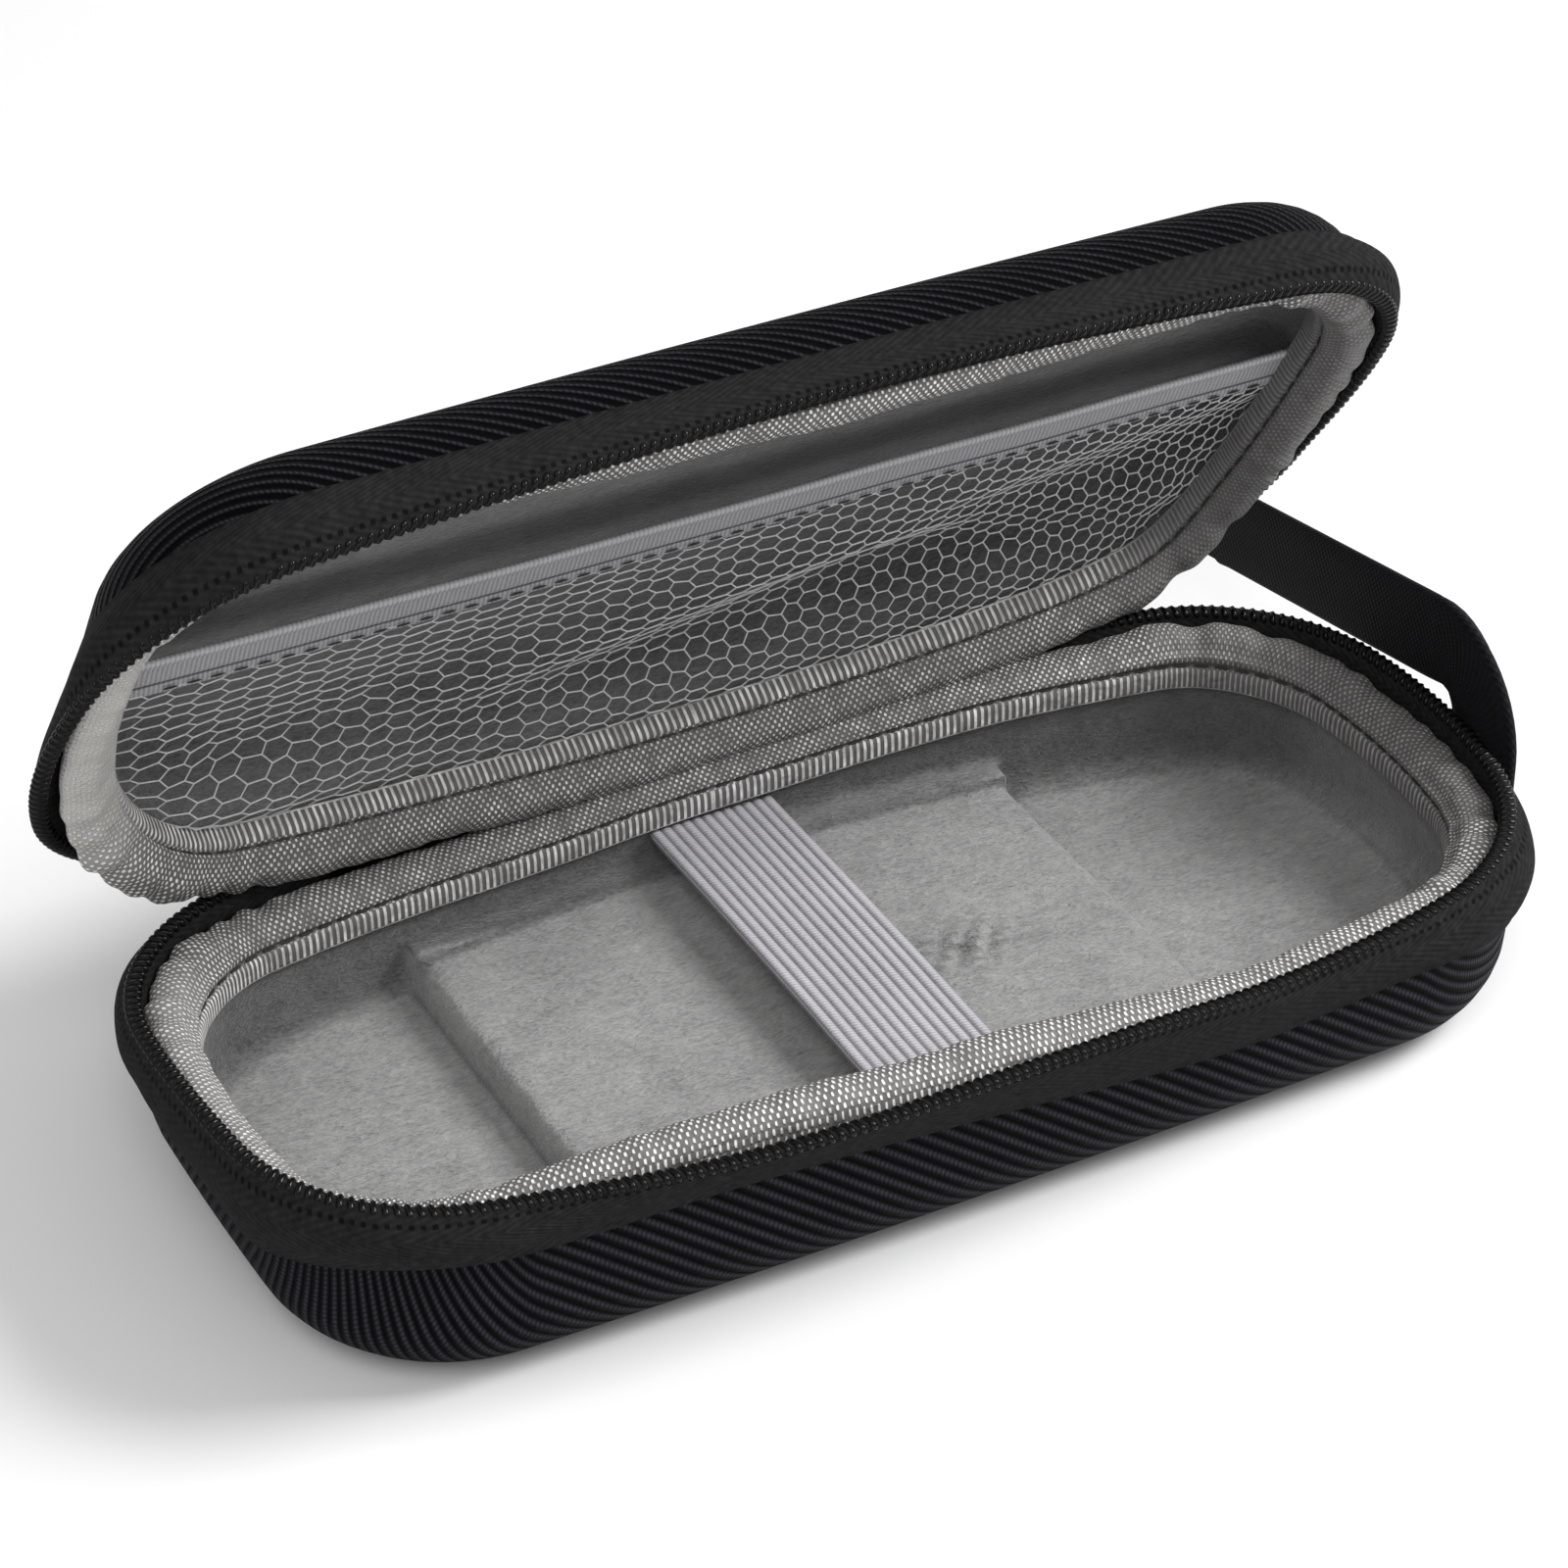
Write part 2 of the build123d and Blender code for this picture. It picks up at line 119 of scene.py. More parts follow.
@dataclass(frozen=True)
class Oval:
    """Closed outline of tangent arcs, in millimetres.

    A place on it is an arc's number plus the share of that arc. Place 0 is the middle of the back, and
    places grow by way of the left end, so that places of two ovals lie across from each other.
    """

    length: float
    width: float
    corner: float
    side: float
    end: float

    def arcs(self) -> Array:
        """Rows of centre x, centre y, radius, start angle and sweep."""
        side_y = self.width / 2 - self.side
        end_x = self.length / 2 - self.end
        reach = math.hypot(end_x, side_y)
        wide, tall = self.side - self.corner, self.end - self.corner
        along = (wide**2 - tall**2 + reach**2) / (2 * reach)
        across = math.sqrt(wide**2 - along**2)
        x = (end_x * along - side_y * across) / reach
        y = side_y - (side_y * along + end_x * across) / reach
        first = math.atan2(y, x - end_x)
        last = math.atan2(y - side_y, x)
        bend, half = last - first, math.pi / 2 - last
        return np.array(
            [
                (0, side_y, self.side, math.pi / 2, half),
                (-x, y, self.corner, math.pi - last, bend),
                (-end_x, 0, self.end, math.pi - first, 2 * first),
                (-x, -y, self.corner, math.pi + first, bend),
                (0, -side_y, self.side, math.pi + last, 2 * half),
                (x, -y, self.corner, -last, bend),
                (end_x, 0, self.end, -first, 2 * first),
                (x, y, self.corner, first, bend),
                (0, side_y, self.side, last, half),
            ]
        )

    def total(self) -> float:
        """Length once round."""
        arcs = self.arcs()
        return float(np.sum(arcs[:, 2] * arcs[:, 4]))

    def locate(self, distance: Array) -> Array:
        """Turns distances round the outline into places on it.

        Args:
            distance: lengths from the middle of the back.

        Returns:
            The places.
        """
        arcs = self.arcs()
        ends = np.concatenate([[0], np.cumsum(arcs[:, 2] * arcs[:, 4])])
        return np.interp(distance, ends, np.arange(len(ends)))

    def at(self, places: Array, outset: float | Array = 0.0) -> tuple[Array, Array]:
        """Points and outward directions.

        Args:
            places: places round the outline.
            outset: how far outside the outline the points lie.

        Returns:
            Points and unit normals, each with x and y in the last axis.
        """
        arcs = self.arcs()
        index = np.clip(np.floor(places).astype(int), 0, len(arcs) - 1)
        x, y, radius, start, sweep = arcs[index].T
        angle = start + sweep * (places - index)
        normals = np.stack([np.cos(angle), np.sin(angle)], -1)
        return np.stack([x, y], -1) + normals * np.expand_dims(radius + outset, -1), normals

    def back_cut(self, half_width: float) -> float:
        """Distance from the middle of the back to where the outline is half_width from the middle."""
        return self.side * math.asin(half_width / self.side)

    def inside(self, x: Array, y: Array) -> Array:
        """How far points lie inside the outline, judged along its nearest sampled normal."""
        points, normals = self.at(np.linspace(0, 9, 720, endpoint=False))
        gaps = np.einsum("kd,nkd->nk", normals, points[None] - np.stack([x, y], -1)[:, None])
        return gaps.min(1)


SHELL = Oval(193.0, 90.0, 28.0, 2500.0, 600.0)
ZIP_LINE = Oval(200.0, 96.0, 31.0, 420.0, 110.0)
BAND = Oval(202.4, 97.2, 30.0, 700.0, 250.0)


def bump(value: Array, middle: float, reach: float) -> Array:
    """Soft hump of height 1 at the middle that fades away over reach."""
    return np.exp(-(((value - middle) / reach) ** 2))


def from_back(distance: Array) -> Array:
    """Distance round the zip line from the middle of the back, the shorter way: minus on the left."""
    total = ZIP_LINE.total()
    return np.where(distance > total / 2, total - distance, -distance)


def upright(points: Array, z: float | Array) -> Array:
    """Adds a height to flat points.

    Args:
        points: x and y in the last axis.
        z: one height, or one for each point.

    Returns:
        The points with x, y and z.
    """
    return np.concatenate([points, np.broadcast_to(np.expand_dims(z, -1), (*points.shape[:-1], 1))], -1)


def smoothstep(value: Array, low: float, high: float) -> Array:
    """Soft step from 0 at low to 1 at high."""
    share = np.clip((value - low) / (high - low), 0, 1)
    return share * share * (3 - 2 * share)


def soft_noise(position: Array, size: float, seed: int) -> Array:
    """Smooth wander between about -1 and 1, the same in every run.

    Args:
        position: coordinates in the last axis.
        size: distance over which it changes, in the units of position.
        seed: picks one of many wanders.

    Returns:
        One value for each position.
    """
    draw = np.random.default_rng(seed)
    total = np.zeros(position.shape[:-1])
    waves = 7
    for _ in range(waves):
        heading = draw.normal(size=position.shape[-1])
        heading *= draw.uniform(0.6, 1.5) / np.linalg.norm(heading)
        total += np.sin(position @ heading * (2 * math.pi / size) + draw.uniform(0, 2 * math.pi))
    return total / math.sqrt(waves)


def curve_through(points: Array, count: int) -> Array:
    """Smooth line through a few points.

    Args:
        points: the points to pass through, one a row.
        count: number of points on the line, evenly spaced along it.

    Returns:
        The line's points.
    """
    padded = np.concatenate([2 * points[:1] - points[1:2], points, 2 * points[-1:] - points[-2:-1]])
    fine = []
    for k in range(1, len(padded) - 2):
        before, here, after, beyond = padded[k - 1 : k + 3]
        share = np.linspace(0, 1, 16, endpoint=False)[:, None]
        slope, bend = after - before, 2 * before - 5 * here + 4 * after - beyond
        twist = 3 * here - before - 3 * after + beyond
        fine.append(here + (slope * share + bend * share**2 + twist * share**3) / 2)
    line = np.concatenate([*fine, points[-1:]])
    walked = np.concatenate([[0], np.cumsum(np.linalg.norm(np.diff(line, axis=0), axis=1))])
    wanted = np.linspace(0, walked[-1], count)
    return np.stack([np.interp(wanted, walked, line[:, k]) for k in range(line.shape[1])], -1)


def running_length(points: Array) -> Array:
    """Distance walked along rows of points, from 0."""
    return np.concatenate([[0], np.cumsum(np.linalg.norm(np.diff(points, axis=0), axis=1))])


def deselect() -> None:
    """Leaves nothing selected."""
    bpy.ops.object.select_all(action="DESELECT")


def activate(piece: Piece) -> None:
    """Makes a piece the only selected one, and the active one."""
    deselect()
    piece.select_set(True)
    bpy.context.view_layer.objects.active = piece


def edit(piece: Piece) -> None:
    """Opens a piece in edit mode with everything selected."""
    activate(piece)
    bpy.ops.object.mode_set(mode="EDIT")
    bpy.ops.mesh.select_all(action="SELECT")


def leave_edit() -> None:
    """Goes back to object mode."""
    bpy.ops.object.mode_set(mode="OBJECT")


def face_outwards(piece: Piece) -> None:
    """Merges doubles and turns every face of a closed mesh outwards."""
    edit(piece)
    bpy.ops.mesh.remove_doubles(threshold=1e-6)
    bpy.ops.mesh.normals_make_consistent(inside=False)
    leave_edit()


def close_holes(piece: Piece) -> None:
    """Fills the open rings of a cup and turns its faces outwards."""
    edit(piece)
    bpy.ops.mesh.select_all(action="DESELECT")
    bpy.ops.mesh.select_non_manifold()
    bpy.ops.mesh.fill_holes(sides=0)
    bpy.ops.mesh.select_all(action="SELECT")
    bpy.ops.mesh.normals_make_consistent(inside=False)
    leave_edit()


def modify(piece: Piece, kind: str, **settings: object) -> None:
    """Adds a modifier and applies it.

    Args:
        piece: the mesh to change.
        kind: Blender's name for the modifier.
        settings: the modifier's settings by name.
    """
    activate(piece)
    modifier = piece.modifiers.new(kind.lower(), kind)
    for name, value in settings.items():
        setattr(modifier, name, value)
    bpy.ops.object.modifier_apply(modifier=modifier.name)


def new_mesh(name: str, points: Array, faces: list) -> Piece:
    """Makes a smooth-shaded mesh object at the origin.

    Args:
        name: the piece's name.
        points: places in millimetres, one a row.
        faces: corner numbers of each face.

    Returns:
        The new object.
    """
    mesh = bpy.data.meshes.new(name)
    mesh.from_pydata((points * MM).tolist(), [], faces)
    mesh.shade_smooth()
    piece = bpy.data.objects.new(name, mesh)
    bpy.context.scene.collection.objects.link(piece)
    return piece


def lattice(name: str, rows: Array, uv: Array, ring: bool, tube: bool) -> Piece:
    """Cloth surface over rows of points.

    Args:
        name: the piece's name.
        rows: places in millimetres, shaped (rows, columns, 3).
        uv: cloth coordinates in millimetres, with one more row for a ring and one more column for a tube.
        ring: the last row meets the first.
        tube: the last column meets the first, and the ends of an open row are closed.

    Returns:
        The new object.
    """
    count, width = rows.shape[:2]
    across = np.arange(count if ring else count - 1)
    down = np.arange(width if tube else width - 1)
    a, b = np.meshgrid(across, down, indexing="ij")
    corners = [(a, b), (a, b + 1), (a + 1, b + 1), (a + 1, b)]
    quads = np.stack([(r % count) * width + c % width for r, c in corners], -1).reshape(-1, 4)
    faces = quads.tolist()
    cloth = np.stack([uv[r, c] for r, c in corners], -2).reshape(-1, 2)
    if tube and not ring:
        faces += [list(range(width)), list(range((count - 1) * width, count * width))]
        cloth = np.concatenate([cloth, uv[0, :width], uv[count - 1, :width]])
    piece = new_mesh(name, rows.reshape(-1, 3), faces)
    layer = piece.data.uv_layers.new(name="Cloth")
    layer.data.foreach_set("uv", cloth.astype(np.float32).ravel())
    face_outwards(piece)
    return piece


def strip_uv(along: Array, around: Array) -> Array:
    """Cloth coordinates from a length for each row and a length for each column."""
    return np.stack(np.meshgrid(along, around, indexing="ij"), -1)


def tube_along(name: str, path: Array, outward: Array, radius: float, sides: int) -> Piece:
    """Round thread along a path.

    Args:
        name: the piece's name.
        path: places in millimetres, one a row.
        outward: a direction across the path at each place.
        radius: the thread's radius.
        sides: number of sides.

    Returns:
        The new object.
    """
    run = np.gradient(path, axis=0)
    run /= np.linalg.norm(run, axis=1, keepdims=True)
    across = outward - np.sum(outward * run, 1, keepdims=True) * run
    across /= np.linalg.norm(across, axis=1, keepdims=True)
    other = np.cross(run, across)
    angle = np.linspace(0, 2 * math.pi, sides, endpoint=False)[None, :, None]
    rows = path[:, None] + radius * (np.cos(angle) * across[:, None] + np.sin(angle) * other[:, None])
    uv = strip_uv(running_length(path), np.linspace(0, 2 * math.pi * radius, sides + 1))
    return lattice(name, rows, uv, ring=False, tube=True)


def scatter(name: str, pattern: Piece, places: list[Matrix]) -> Piece:
    """Copies one small shape to many places, as one mesh, and removes the pattern.

    Args:
        name: the new piece's name.
        pattern: the shape, in metres about the origin.
        places: a matrix for each copy, in metres.

    Returns:
        The new object.
    """
    points = np.array([v.co for v in pattern.data.vertices])
    faces = [list(p.vertices) for p in pattern.data.polygons]
    moved, joined = [], []
    for number, place in enumerate(places):
        matrix = np.array(place)
        moved.append(points @ matrix[:3, :3].T + matrix[:3, 3])
        joined += [[v + number * len(points) for v in face] for face in faces]
    bpy.data.objects.remove(pattern)
    return new_mesh(name, np.concatenate(moved) / MM, joined)


def frame_matrix(place: Array, run: Array, outward: Array) -> Matrix:
    """Matrix that sets a shape's x along run and its z along outward.

    Args:
        place: the point in millimetres.
        run: the direction of the shape's x.
        outward: a direction near the shape's z.

    Returns:
        The matrix, in metres.
    """
    x = Vector(run).normalized()
    y = Vector(outward).cross(x).normalized()
    turned = Matrix((x, y, x.cross(y))).transposed().to_4x4()
    return Matrix.Translation(Vector(place) * MM) @ turned


def copy_of(node: str, name: str) -> Piece:
    """Merged copy of a node's mesh, with no material.

    Args:
        node: the node to copy.
        name: the new piece's name.

    Returns:
        The new object.
    """
    piece = bpy.data.objects.new(name, frame["nodes"][node].data.copy())
    bpy.context.scene.collection.objects.link(piece)
    piece.data.materials.clear()
    edit(piece)
    bpy.ops.mesh.remove_doubles(threshold=1e-6)
    leave_edit()
    return piece


class Recipe:
    """Node tree of one finish, built socket by socket around the Principled shader."""

    def __init__(self, name: str) -> None:
        """Starts a material.

        Args:
            name: the material's name.
        """
        self.material = bpy.data.materials.new(name)
        self.material.use_nodes = True
        self.tree = self.material.node_tree
        self.shader = self.tree.nodes["Principled BSDF"]

    def node(self, kind: str, **settings: object) -> bpy.types.Node:
        """Adds a node with the settings given."""
        made = self.tree.nodes.new(kind)
        for name, value in settings.items():
            setattr(made, name, value)
        return made

    def feed(self, target: Socket, value: object) -> None:
        """Links a socket to target, or sets target to a plain value."""
        if isinstance(value, bpy.types.NodeSocket):
            self.tree.links.new(value, target)
        else:
            target.default_value = value

    def math(self, operation: str, *values: object, clamp: bool = False) -> Socket:
        """Math node over one to three values."""
        made = self.node("ShaderNodeMath", operation=operation, use_clamp=clamp)
        for target, value in zip(made.inputs, values):
            self.feed(target, value)
        return made.outputs[0]

    def cloth(self) -> tuple[Socket, Socket]:
        """The two cloth coordinates in millimetres."""
        split = self.node("ShaderNodeSeparateXYZ")
        self.feed(split.inputs[0], self.node("ShaderNodeUVMap", uv_map="Cloth").outputs[0])
        return split.outputs[0], split.outputs[1]

    def spot(self, turn: Vector = Vector(), stretch: Color = (1, 1, 1)) -> Socket:
        """Object coordinates in millimetres, turned by radians and stretched."""
        mapping = self.node("ShaderNodeMapping")
        mapping.inputs["Rotation"].default_value = turn
        mapping.inputs["Scale"].default_value = [s / MM for s in stretch]
        self.feed(mapping.inputs[0], self.node("ShaderNodeTexCoord").outputs["Object"])
        return mapping.outputs[0]

    def noise(self, vector: Socket, size: float, detail: float = 2.0, twist: float = 0.0) -> Socket:
        """Noise from 0 to 1 whose grains are about size across."""
        made = self.node("ShaderNodeTexNoise")
        made.inputs["Scale"].default_value = 1 / size
        made.inputs["Detail"].default_value = detail
        made.inputs["Distortion"].default_value = twist
        self.feed(made.inputs["Vector"], vector)
        return made.outputs[0]

    def wave(self, value: Socket, pitch: float) -> Socket:
        """Cosine ripple from 0 to 1 with crests at whole pitches."""
        turned = self.math("MULTIPLY", value, 2 * math.pi / pitch)
        return self.math("MULTIPLY_ADD", self.math("COSINE", turned), 0.5, 0.5)

    def step(self, value: Socket, low: float, high: float) -> Socket:
        """Soft step from 0 at low to 1 at high."""
        made = self.node("ShaderNodeMapRange", interpolation_type="SMOOTHSTEP")
        for target, given in zip(made.inputs, (value, low, high)):
            self.feed(target, given)
        return made.outputs[0]

    def mix(self, share: object, low: object, high: object) -> Socket:
        """Colour between low and high."""
        made = self.node("ShaderNodeMix", data_type="RGBA")
        for place, value in ((0, share), (6, low), (7, high)):
            if isinstance(value, tuple):
                value = (*value, 1.0)
            self.feed(made.inputs[place], value)
        return made.outputs[2]

    def attribute(self, name: str) -> Socket:
        """One number stored on the mesh."""
        return self.node("ShaderNodeAttribute", attribute_name=name).outputs["Fac"]

    def finish(
        self, color: object, height: Socket | None, depth: float, **constants: float
    ) -> bpy.types.Material:
        """Wires colour and relief to the shader and sets its plain sockets.

        Args:
            color: colour socket or plain colour.
            height: relief from 0 to 1, if any.
            depth: the relief's depth in millimetres.
            constants: plain values by socket name, with _ for a space.

        Returns:
            The finished material.
        """
        self.feed(self.shader.inputs["Base Color"], (*color, 1.0) if isinstance(color, tuple) else color)
        if height is not None:
            relief = self.node("ShaderNodeBump")
            relief.inputs["Distance"].default_value = depth * MM
            self.feed(relief.inputs["Height"], height)
            self.feed(self.shader.inputs["Normal"], relief.outputs[0])
        for name, value in constants.items():
            self.shader.inputs[name.replace("_", " ")].default_value = value
        return self.material


@dataclass(frozen=True)
class RibbedTwill:
    """Bluish black polyester twill with bold rope-like ribs, on the outside of the shells, with painted
    highlights on the crests and painted shade in the valleys.
    """

    name: str = "ribbed_twill"
    # The crest colour is a painted highlight on the rib tops, and the valley colour is painted shade between
    # the ribs.
    crest: Color = (0.036, 0.0355, 0.045)
    shaded_valley: Color = (0.0004, 0.0004, 0.0008)
    pitch: float = 1.9
    slant: float = math.radians(128)
    tick: float = 0.85
    tick_share: float = 0.24
    crispness: float = 0.6
    depth: float = 0.45

    @lru_cache
    def material(self) -> bpy.types.Material:
        """The finish as a material."""
        r = Recipe(self.name)
        u, v = r.cloth()
        across = r.math(
            "ADD", r.math("MULTIPLY", u, math.cos(self.slant)), r.math("MULTIPLY", v, math.sin(self.slant))
        )
        along = r.math(
            "SUBTRACT",
            r.math("MULTIPLY", v, math.cos(self.slant)),
            r.math("MULTIPLY", u, math.sin(self.slant))
        )
        rib = r.math("POWER", r.wave(across, self.pitch), self.crispness)
        lean = r.math("MULTIPLY_ADD", across, 0.35, along)
        thread = r.wave(lean, self.tick)
        height = r.math(
            "MULTIPLY", rib, r.math("MULTIPLY_ADD", thread, self.tick_share, 1 - self.tick_share)
        )
        uneven = r.noise(r.spot(), 9.0)
        # Painted highlight and shade: the colour follows the rib's height, light on the crests and near black
        # in the valleys.
        lit = r.math(
            "MULTIPLY", r.math("POWER", height, 2.8), r.math("MULTIPLY_ADD", uneven, 0.8, 0.6), clamp=True
        )
        color = r.mix(lit, self.shaded_valley, self.crest)
        return r.finish(color, height, self.depth, Roughness=0.62, Specular_IOR_Level=0.04)


@dataclass(frozen=True)
class Herringbone:
    """Neutral black zip tape with a fine herringbone weave."""

    light: Color = (0.034, 0.034, 0.0345)
    dark: Color = (0.003, 0.003, 0.0032)
    column: float = 4.0
    pitch: float = 0.95
    seam: float = 1.5
    stitch: float = 1.45
    depth: float = 0.07

    @lru_cache
    def material(self) -> bpy.types.Material:
        """The finish as a material."""
        r = Recipe("herringbone_tape")
        u, v = r.cloth()
        zigzag = r.math("MULTIPLY_ADD", u, 0.45, r.math("PINGPONG", v, self.column))
        weave = r.wave(zigzag, self.pitch)
        dust = r.noise(r.spot(), 1.1, 4.0)
        height = r.math("MULTIPLY_ADD", r.noise(r.spot(), 0.35), 0.3, weave)
        shade = r.math(
            "MULTIPLY", r.math("MULTIPLY_ADD", weave, 0.17, 0.38), r.math("MULTIPLY_ADD", dust, 1.7, 0.1)
        )
        near = r.math("ABSOLUTE", r.math("ADD", v, self.seam))
        hole = r.math(
            "MULTIPLY",
            r.math("SUBTRACT", 1.0, r.step(near, 0.15, 0.5)),
            r.step(r.wave(u, self.stitch), 0.35, 0.75)
        )
        color = r.mix(
            r.math("MULTIPLY", hole, 0.7), r.mix(shade, self.dark, self.light), (0.0008, 0.0008, 0.0009)
        )
        return r.finish(
            color, r.math("SUBTRACT", height, hole), self.depth, Roughness=0.85, Specular_IOR_Level=0.04
        )


@dataclass(frozen=True)
class OxfordWeave:
    """Grey binding tape: dark ground, thread crowns with painted white highlights, a ladder-like selvage on
    its flange, and painted light and shade from the mesh.
    """

    # The crown colour is a painted highlight on the thread crowns; the pale and fluff colours paint the cloth
    # where light falls across it, and the shaded colour is painted shade.
    ground: Color = (0.12, 0.116, 0.113)
    pale: Color = (0.53, 0.515, 0.495)
    fluff: Color = (0.66, 0.645, 0.625)
    thread: Color = (0.42, 0.41, 0.405)
    crown: Color = (0.97, 0.96, 0.95)
    shaded: Color = (0.20, 0.198, 0.198)
    pitch: float = 1.08
    row: float = 1.3
    bar: float = 1.15
    flange_from: float = 0.55
    flange_edge: float = 3.75
    depth: float = 0.22

    @lru_cache
    def material(self) -> bpy.types.Material:
        """The finish as a material."""
        r = Recipe("oxford_binding")
        u, v = r.cloth()
        wander = r.noise(r.spot(), 5.0, 2.0)
        bent = r.math("MULTIPLY_ADD", wander, 0.5, v)
        side = r.math("COSINE", r.math("MULTIPLY", u, 2 * math.pi / self.pitch))
        down = r.math("COSINE", r.math("MULTIPLY", bent, 2 * math.pi / self.row))
        uneven = r.math("MULTIPLY_ADD", r.noise(r.spot(), 1.6, 3.0), 0.9, -0.4)
        crowns = r.step(r.math("MULTIPLY_ADD", side, down, uneven), 0.05, 0.75)
        bars = r.step(r.wave(u, self.bar), 0.40, 0.75)
        loops = r.math("MAXIMUM", bars, r.step(v, self.flange_edge - 0.15, self.flange_edge + 0.15))
        edge = r.step(v, self.flange_from - 0.2, self.flange_from + 0.2)
        woven = r.math(
            "ADD",
            r.math("MULTIPLY", crowns, r.math("SUBTRACT", 1.0, edge)),
            r.math("MULTIPLY", loops, edge)
        )
        # Painted light and shade stored on the mesh, and painted glints on the crowns.
        painted_shading = r.attribute("painted_shading")
        glint = r.math("MULTIPLY_ADD", r.noise(r.spot(), 2.6, 4.0), 3.0, -1.05)
        # Where the painted light is strong, the ground and the crowns turn to the pale painted-light colours,
        # with a fine fuzz.
        lit_share = r.step(painted_shading, 0.30, 0.85)
        lit = r.mix(r.math("ADD", glint, painted_shading, clamp=True), self.thread, self.crown)
        # Where the painted shading is dark, the crowns turn to the painted shade colour.
        lit = r.mix(r.step(painted_shading, -1.0, -0.2), self.shaded, lit)
        nap = r.math(
            "MULTIPLY", lit_share, r.math("MULTIPLY_ADD", r.noise(r.spot(), 0.45, 3.0), 1.3, 0.35), clamp=True
        )
        lit = r.mix(nap, lit, self.fluff)
        ground = r.mix(lit_share, self.ground, self.pale)
        # The stitched groove shows only the dark ground colour: painted shade in the crease.
        clear_of_groove_shade = r.step(r.math("ABSOLUTE", v), 0.15, 0.55)
        color = r.mix(r.math("MULTIPLY", woven, clear_of_groove_shade), ground, lit)
        crease = r.noise(r.spot(), 4.5, 3.0, 1.2)
        height = r.math("MULTIPLY_ADD", crease, 3.0, woven)
        return r.finish(color, height, self.depth, Roughness=0.6, Specular_IOR_Level=0.45)


@dataclass(frozen=True)
class Velvet:
    """Short mid-grey velvet pile with a nap that lies one way, darkened by painted shade stored on the mesh.
    """

    light: Color = (0.52, 0.515, 0.51)
    dark: Color = (0.15, 0.148, 0.148)
    depth: float = 0.55

    @lru_cache
    def material(self) -> bpy.types.Material:
        """The finish as a material."""
        r = Recipe("grey_velvet")
        nap = r.spot(Vector((0, 0, math.radians(-35))), (0.55, 1.5, 1.5))
        fibre = r.noise(nap, 0.55, 3.0, 0.4)
        tuft = r.noise(nap, 2.2, 3.0, 0.6)
        patch = r.noise(r.spot(), 16.0, 2.0, 0.8)
        shade = r.math("MULTIPLY_ADD", fibre, 0.95, -0.24)
        shade = r.math("MULTIPLY_ADD", r.math("SUBTRACT", tuft, 0.5), 0.55, shade)
        shade = r.math("MULTIPLY_ADD", r.math("SUBTRACT", patch, 0.5), 0.45, shade)
        shade = r.math("ADD", shade, 0.22, clamp=True)
        height = r.math("MULTIPLY_ADD", tuft, 0.6, fibre)
        # The colour is scaled down by the painted shading stored on the mesh: painted shade.
        color = r.mix(
            r.math("ADD", r.attribute("painted_shading"), 1.0, clamp=True),
            (0, 0, 0),
            r.mix(shade, self.dark, self.light)
        )
        return r.finish(
            color,
            height,
            self.depth,
            Roughness=0.95,
            Specular_IOR_Level=0.08,
            Sheen_Weight=0.35,
            Sheen_Roughness=0.45
        )


@dataclass(frozen=True)
class KnitElastic:
    """Pale lilac grey elastic whose ribs are knitted of fine cross threads, with painted shade in the grooves
    between the ribs.
    """

    name: str
    light: Color
    groove: Color
    rib: float
    tick: float = 0.62
    depth: float = 0.16

    @lru_cache
    def material(self) -> bpy.types.Material:
        """The finish as a material."""
        r = Recipe(self.name)
        u, v = r.cloth()
        # Painted shade: the colour falls to the groove colour between the ribs.
        crest = r.math("POWER", r.math("SUBTRACT", 1.0, r.wave(u, self.rib)), 0.32)
        slant = r.math("MULTIPLY_ADD", u, 0.25, v)
        thread = r.wave(slant, self.tick)
        fluff = r.noise(r.spot(), 0.5, 3.0)
        body = r.math("MULTIPLY", crest, r.math("MULTIPLY_ADD", thread, 0.42, 0.55))
        body = r.math("MULTIPLY_ADD", r.math("SUBTRACT", fluff, 0.5), 0.45, body)
        tint = r.noise(r.spot(), 11.0)
        body = r.math("MULTIPLY_ADD", r.math("SUBTRACT", tint, 0.5), 0.25, body, clamp=True)
        return r.finish(
            r.mix(body, self.groove, self.light),
            body,
            self.depth,
            Roughness=0.8,
            Specular_IOR_Level=0.2,
            Sheen_Weight=0.12
        )


@dataclass(frozen=True)
class CrossKnit:
    """Grey elastic tape of fine cross threads, with a pale rolled edge and a seam along its other side."""

    light: Color = (0.50, 0.495, 0.52)
    dark: Color = (0.22, 0.218, 0.23)
    pale: Color = (0.60, 0.595, 0.62)
    tick: float = 0.7
    edge: float = 0.9
    seam: float = 5.7
    depth: float = 0.12

    @lru_cache
    def material(self) -> bpy.types.Material:
        """The finish as a material."""
        r = Recipe("cross_knit")
        u, v = r.cloth()
        thread = r.wave(v, self.tick)
        fluff = r.noise(r.spot(), 0.4, 3.0)
        body = r.math("MULTIPLY_ADD", fluff, 0.5, r.math("MULTIPLY", thread, 0.6), clamp=True)
        cloth = r.mix(body, self.dark, self.light)
        rolled = r.math("SUBTRACT", 1.0, r.step(u, self.edge - 0.3, self.edge + 0.1))
        cloth = r.mix(r.math("MULTIPLY", rolled, r.math("MULTIPLY_ADD", body, 0.7, 0.25)), cloth, self.pale)
        near = r.math("ABSOLUTE", r.math("SUBTRACT", u, self.seam))
        sunk = r.math("SUBTRACT", 1.0, r.step(near, 0.10, 0.38))
        cloth = r.mix(r.math("MULTIPLY", sunk, 0.8), cloth, (0.03, 0.03, 0.032))
        height = r.math("SUBTRACT", body, sunk)
        return r.finish(cloth, height, self.depth, Roughness=0.7, Specular_IOR_Level=0.3)


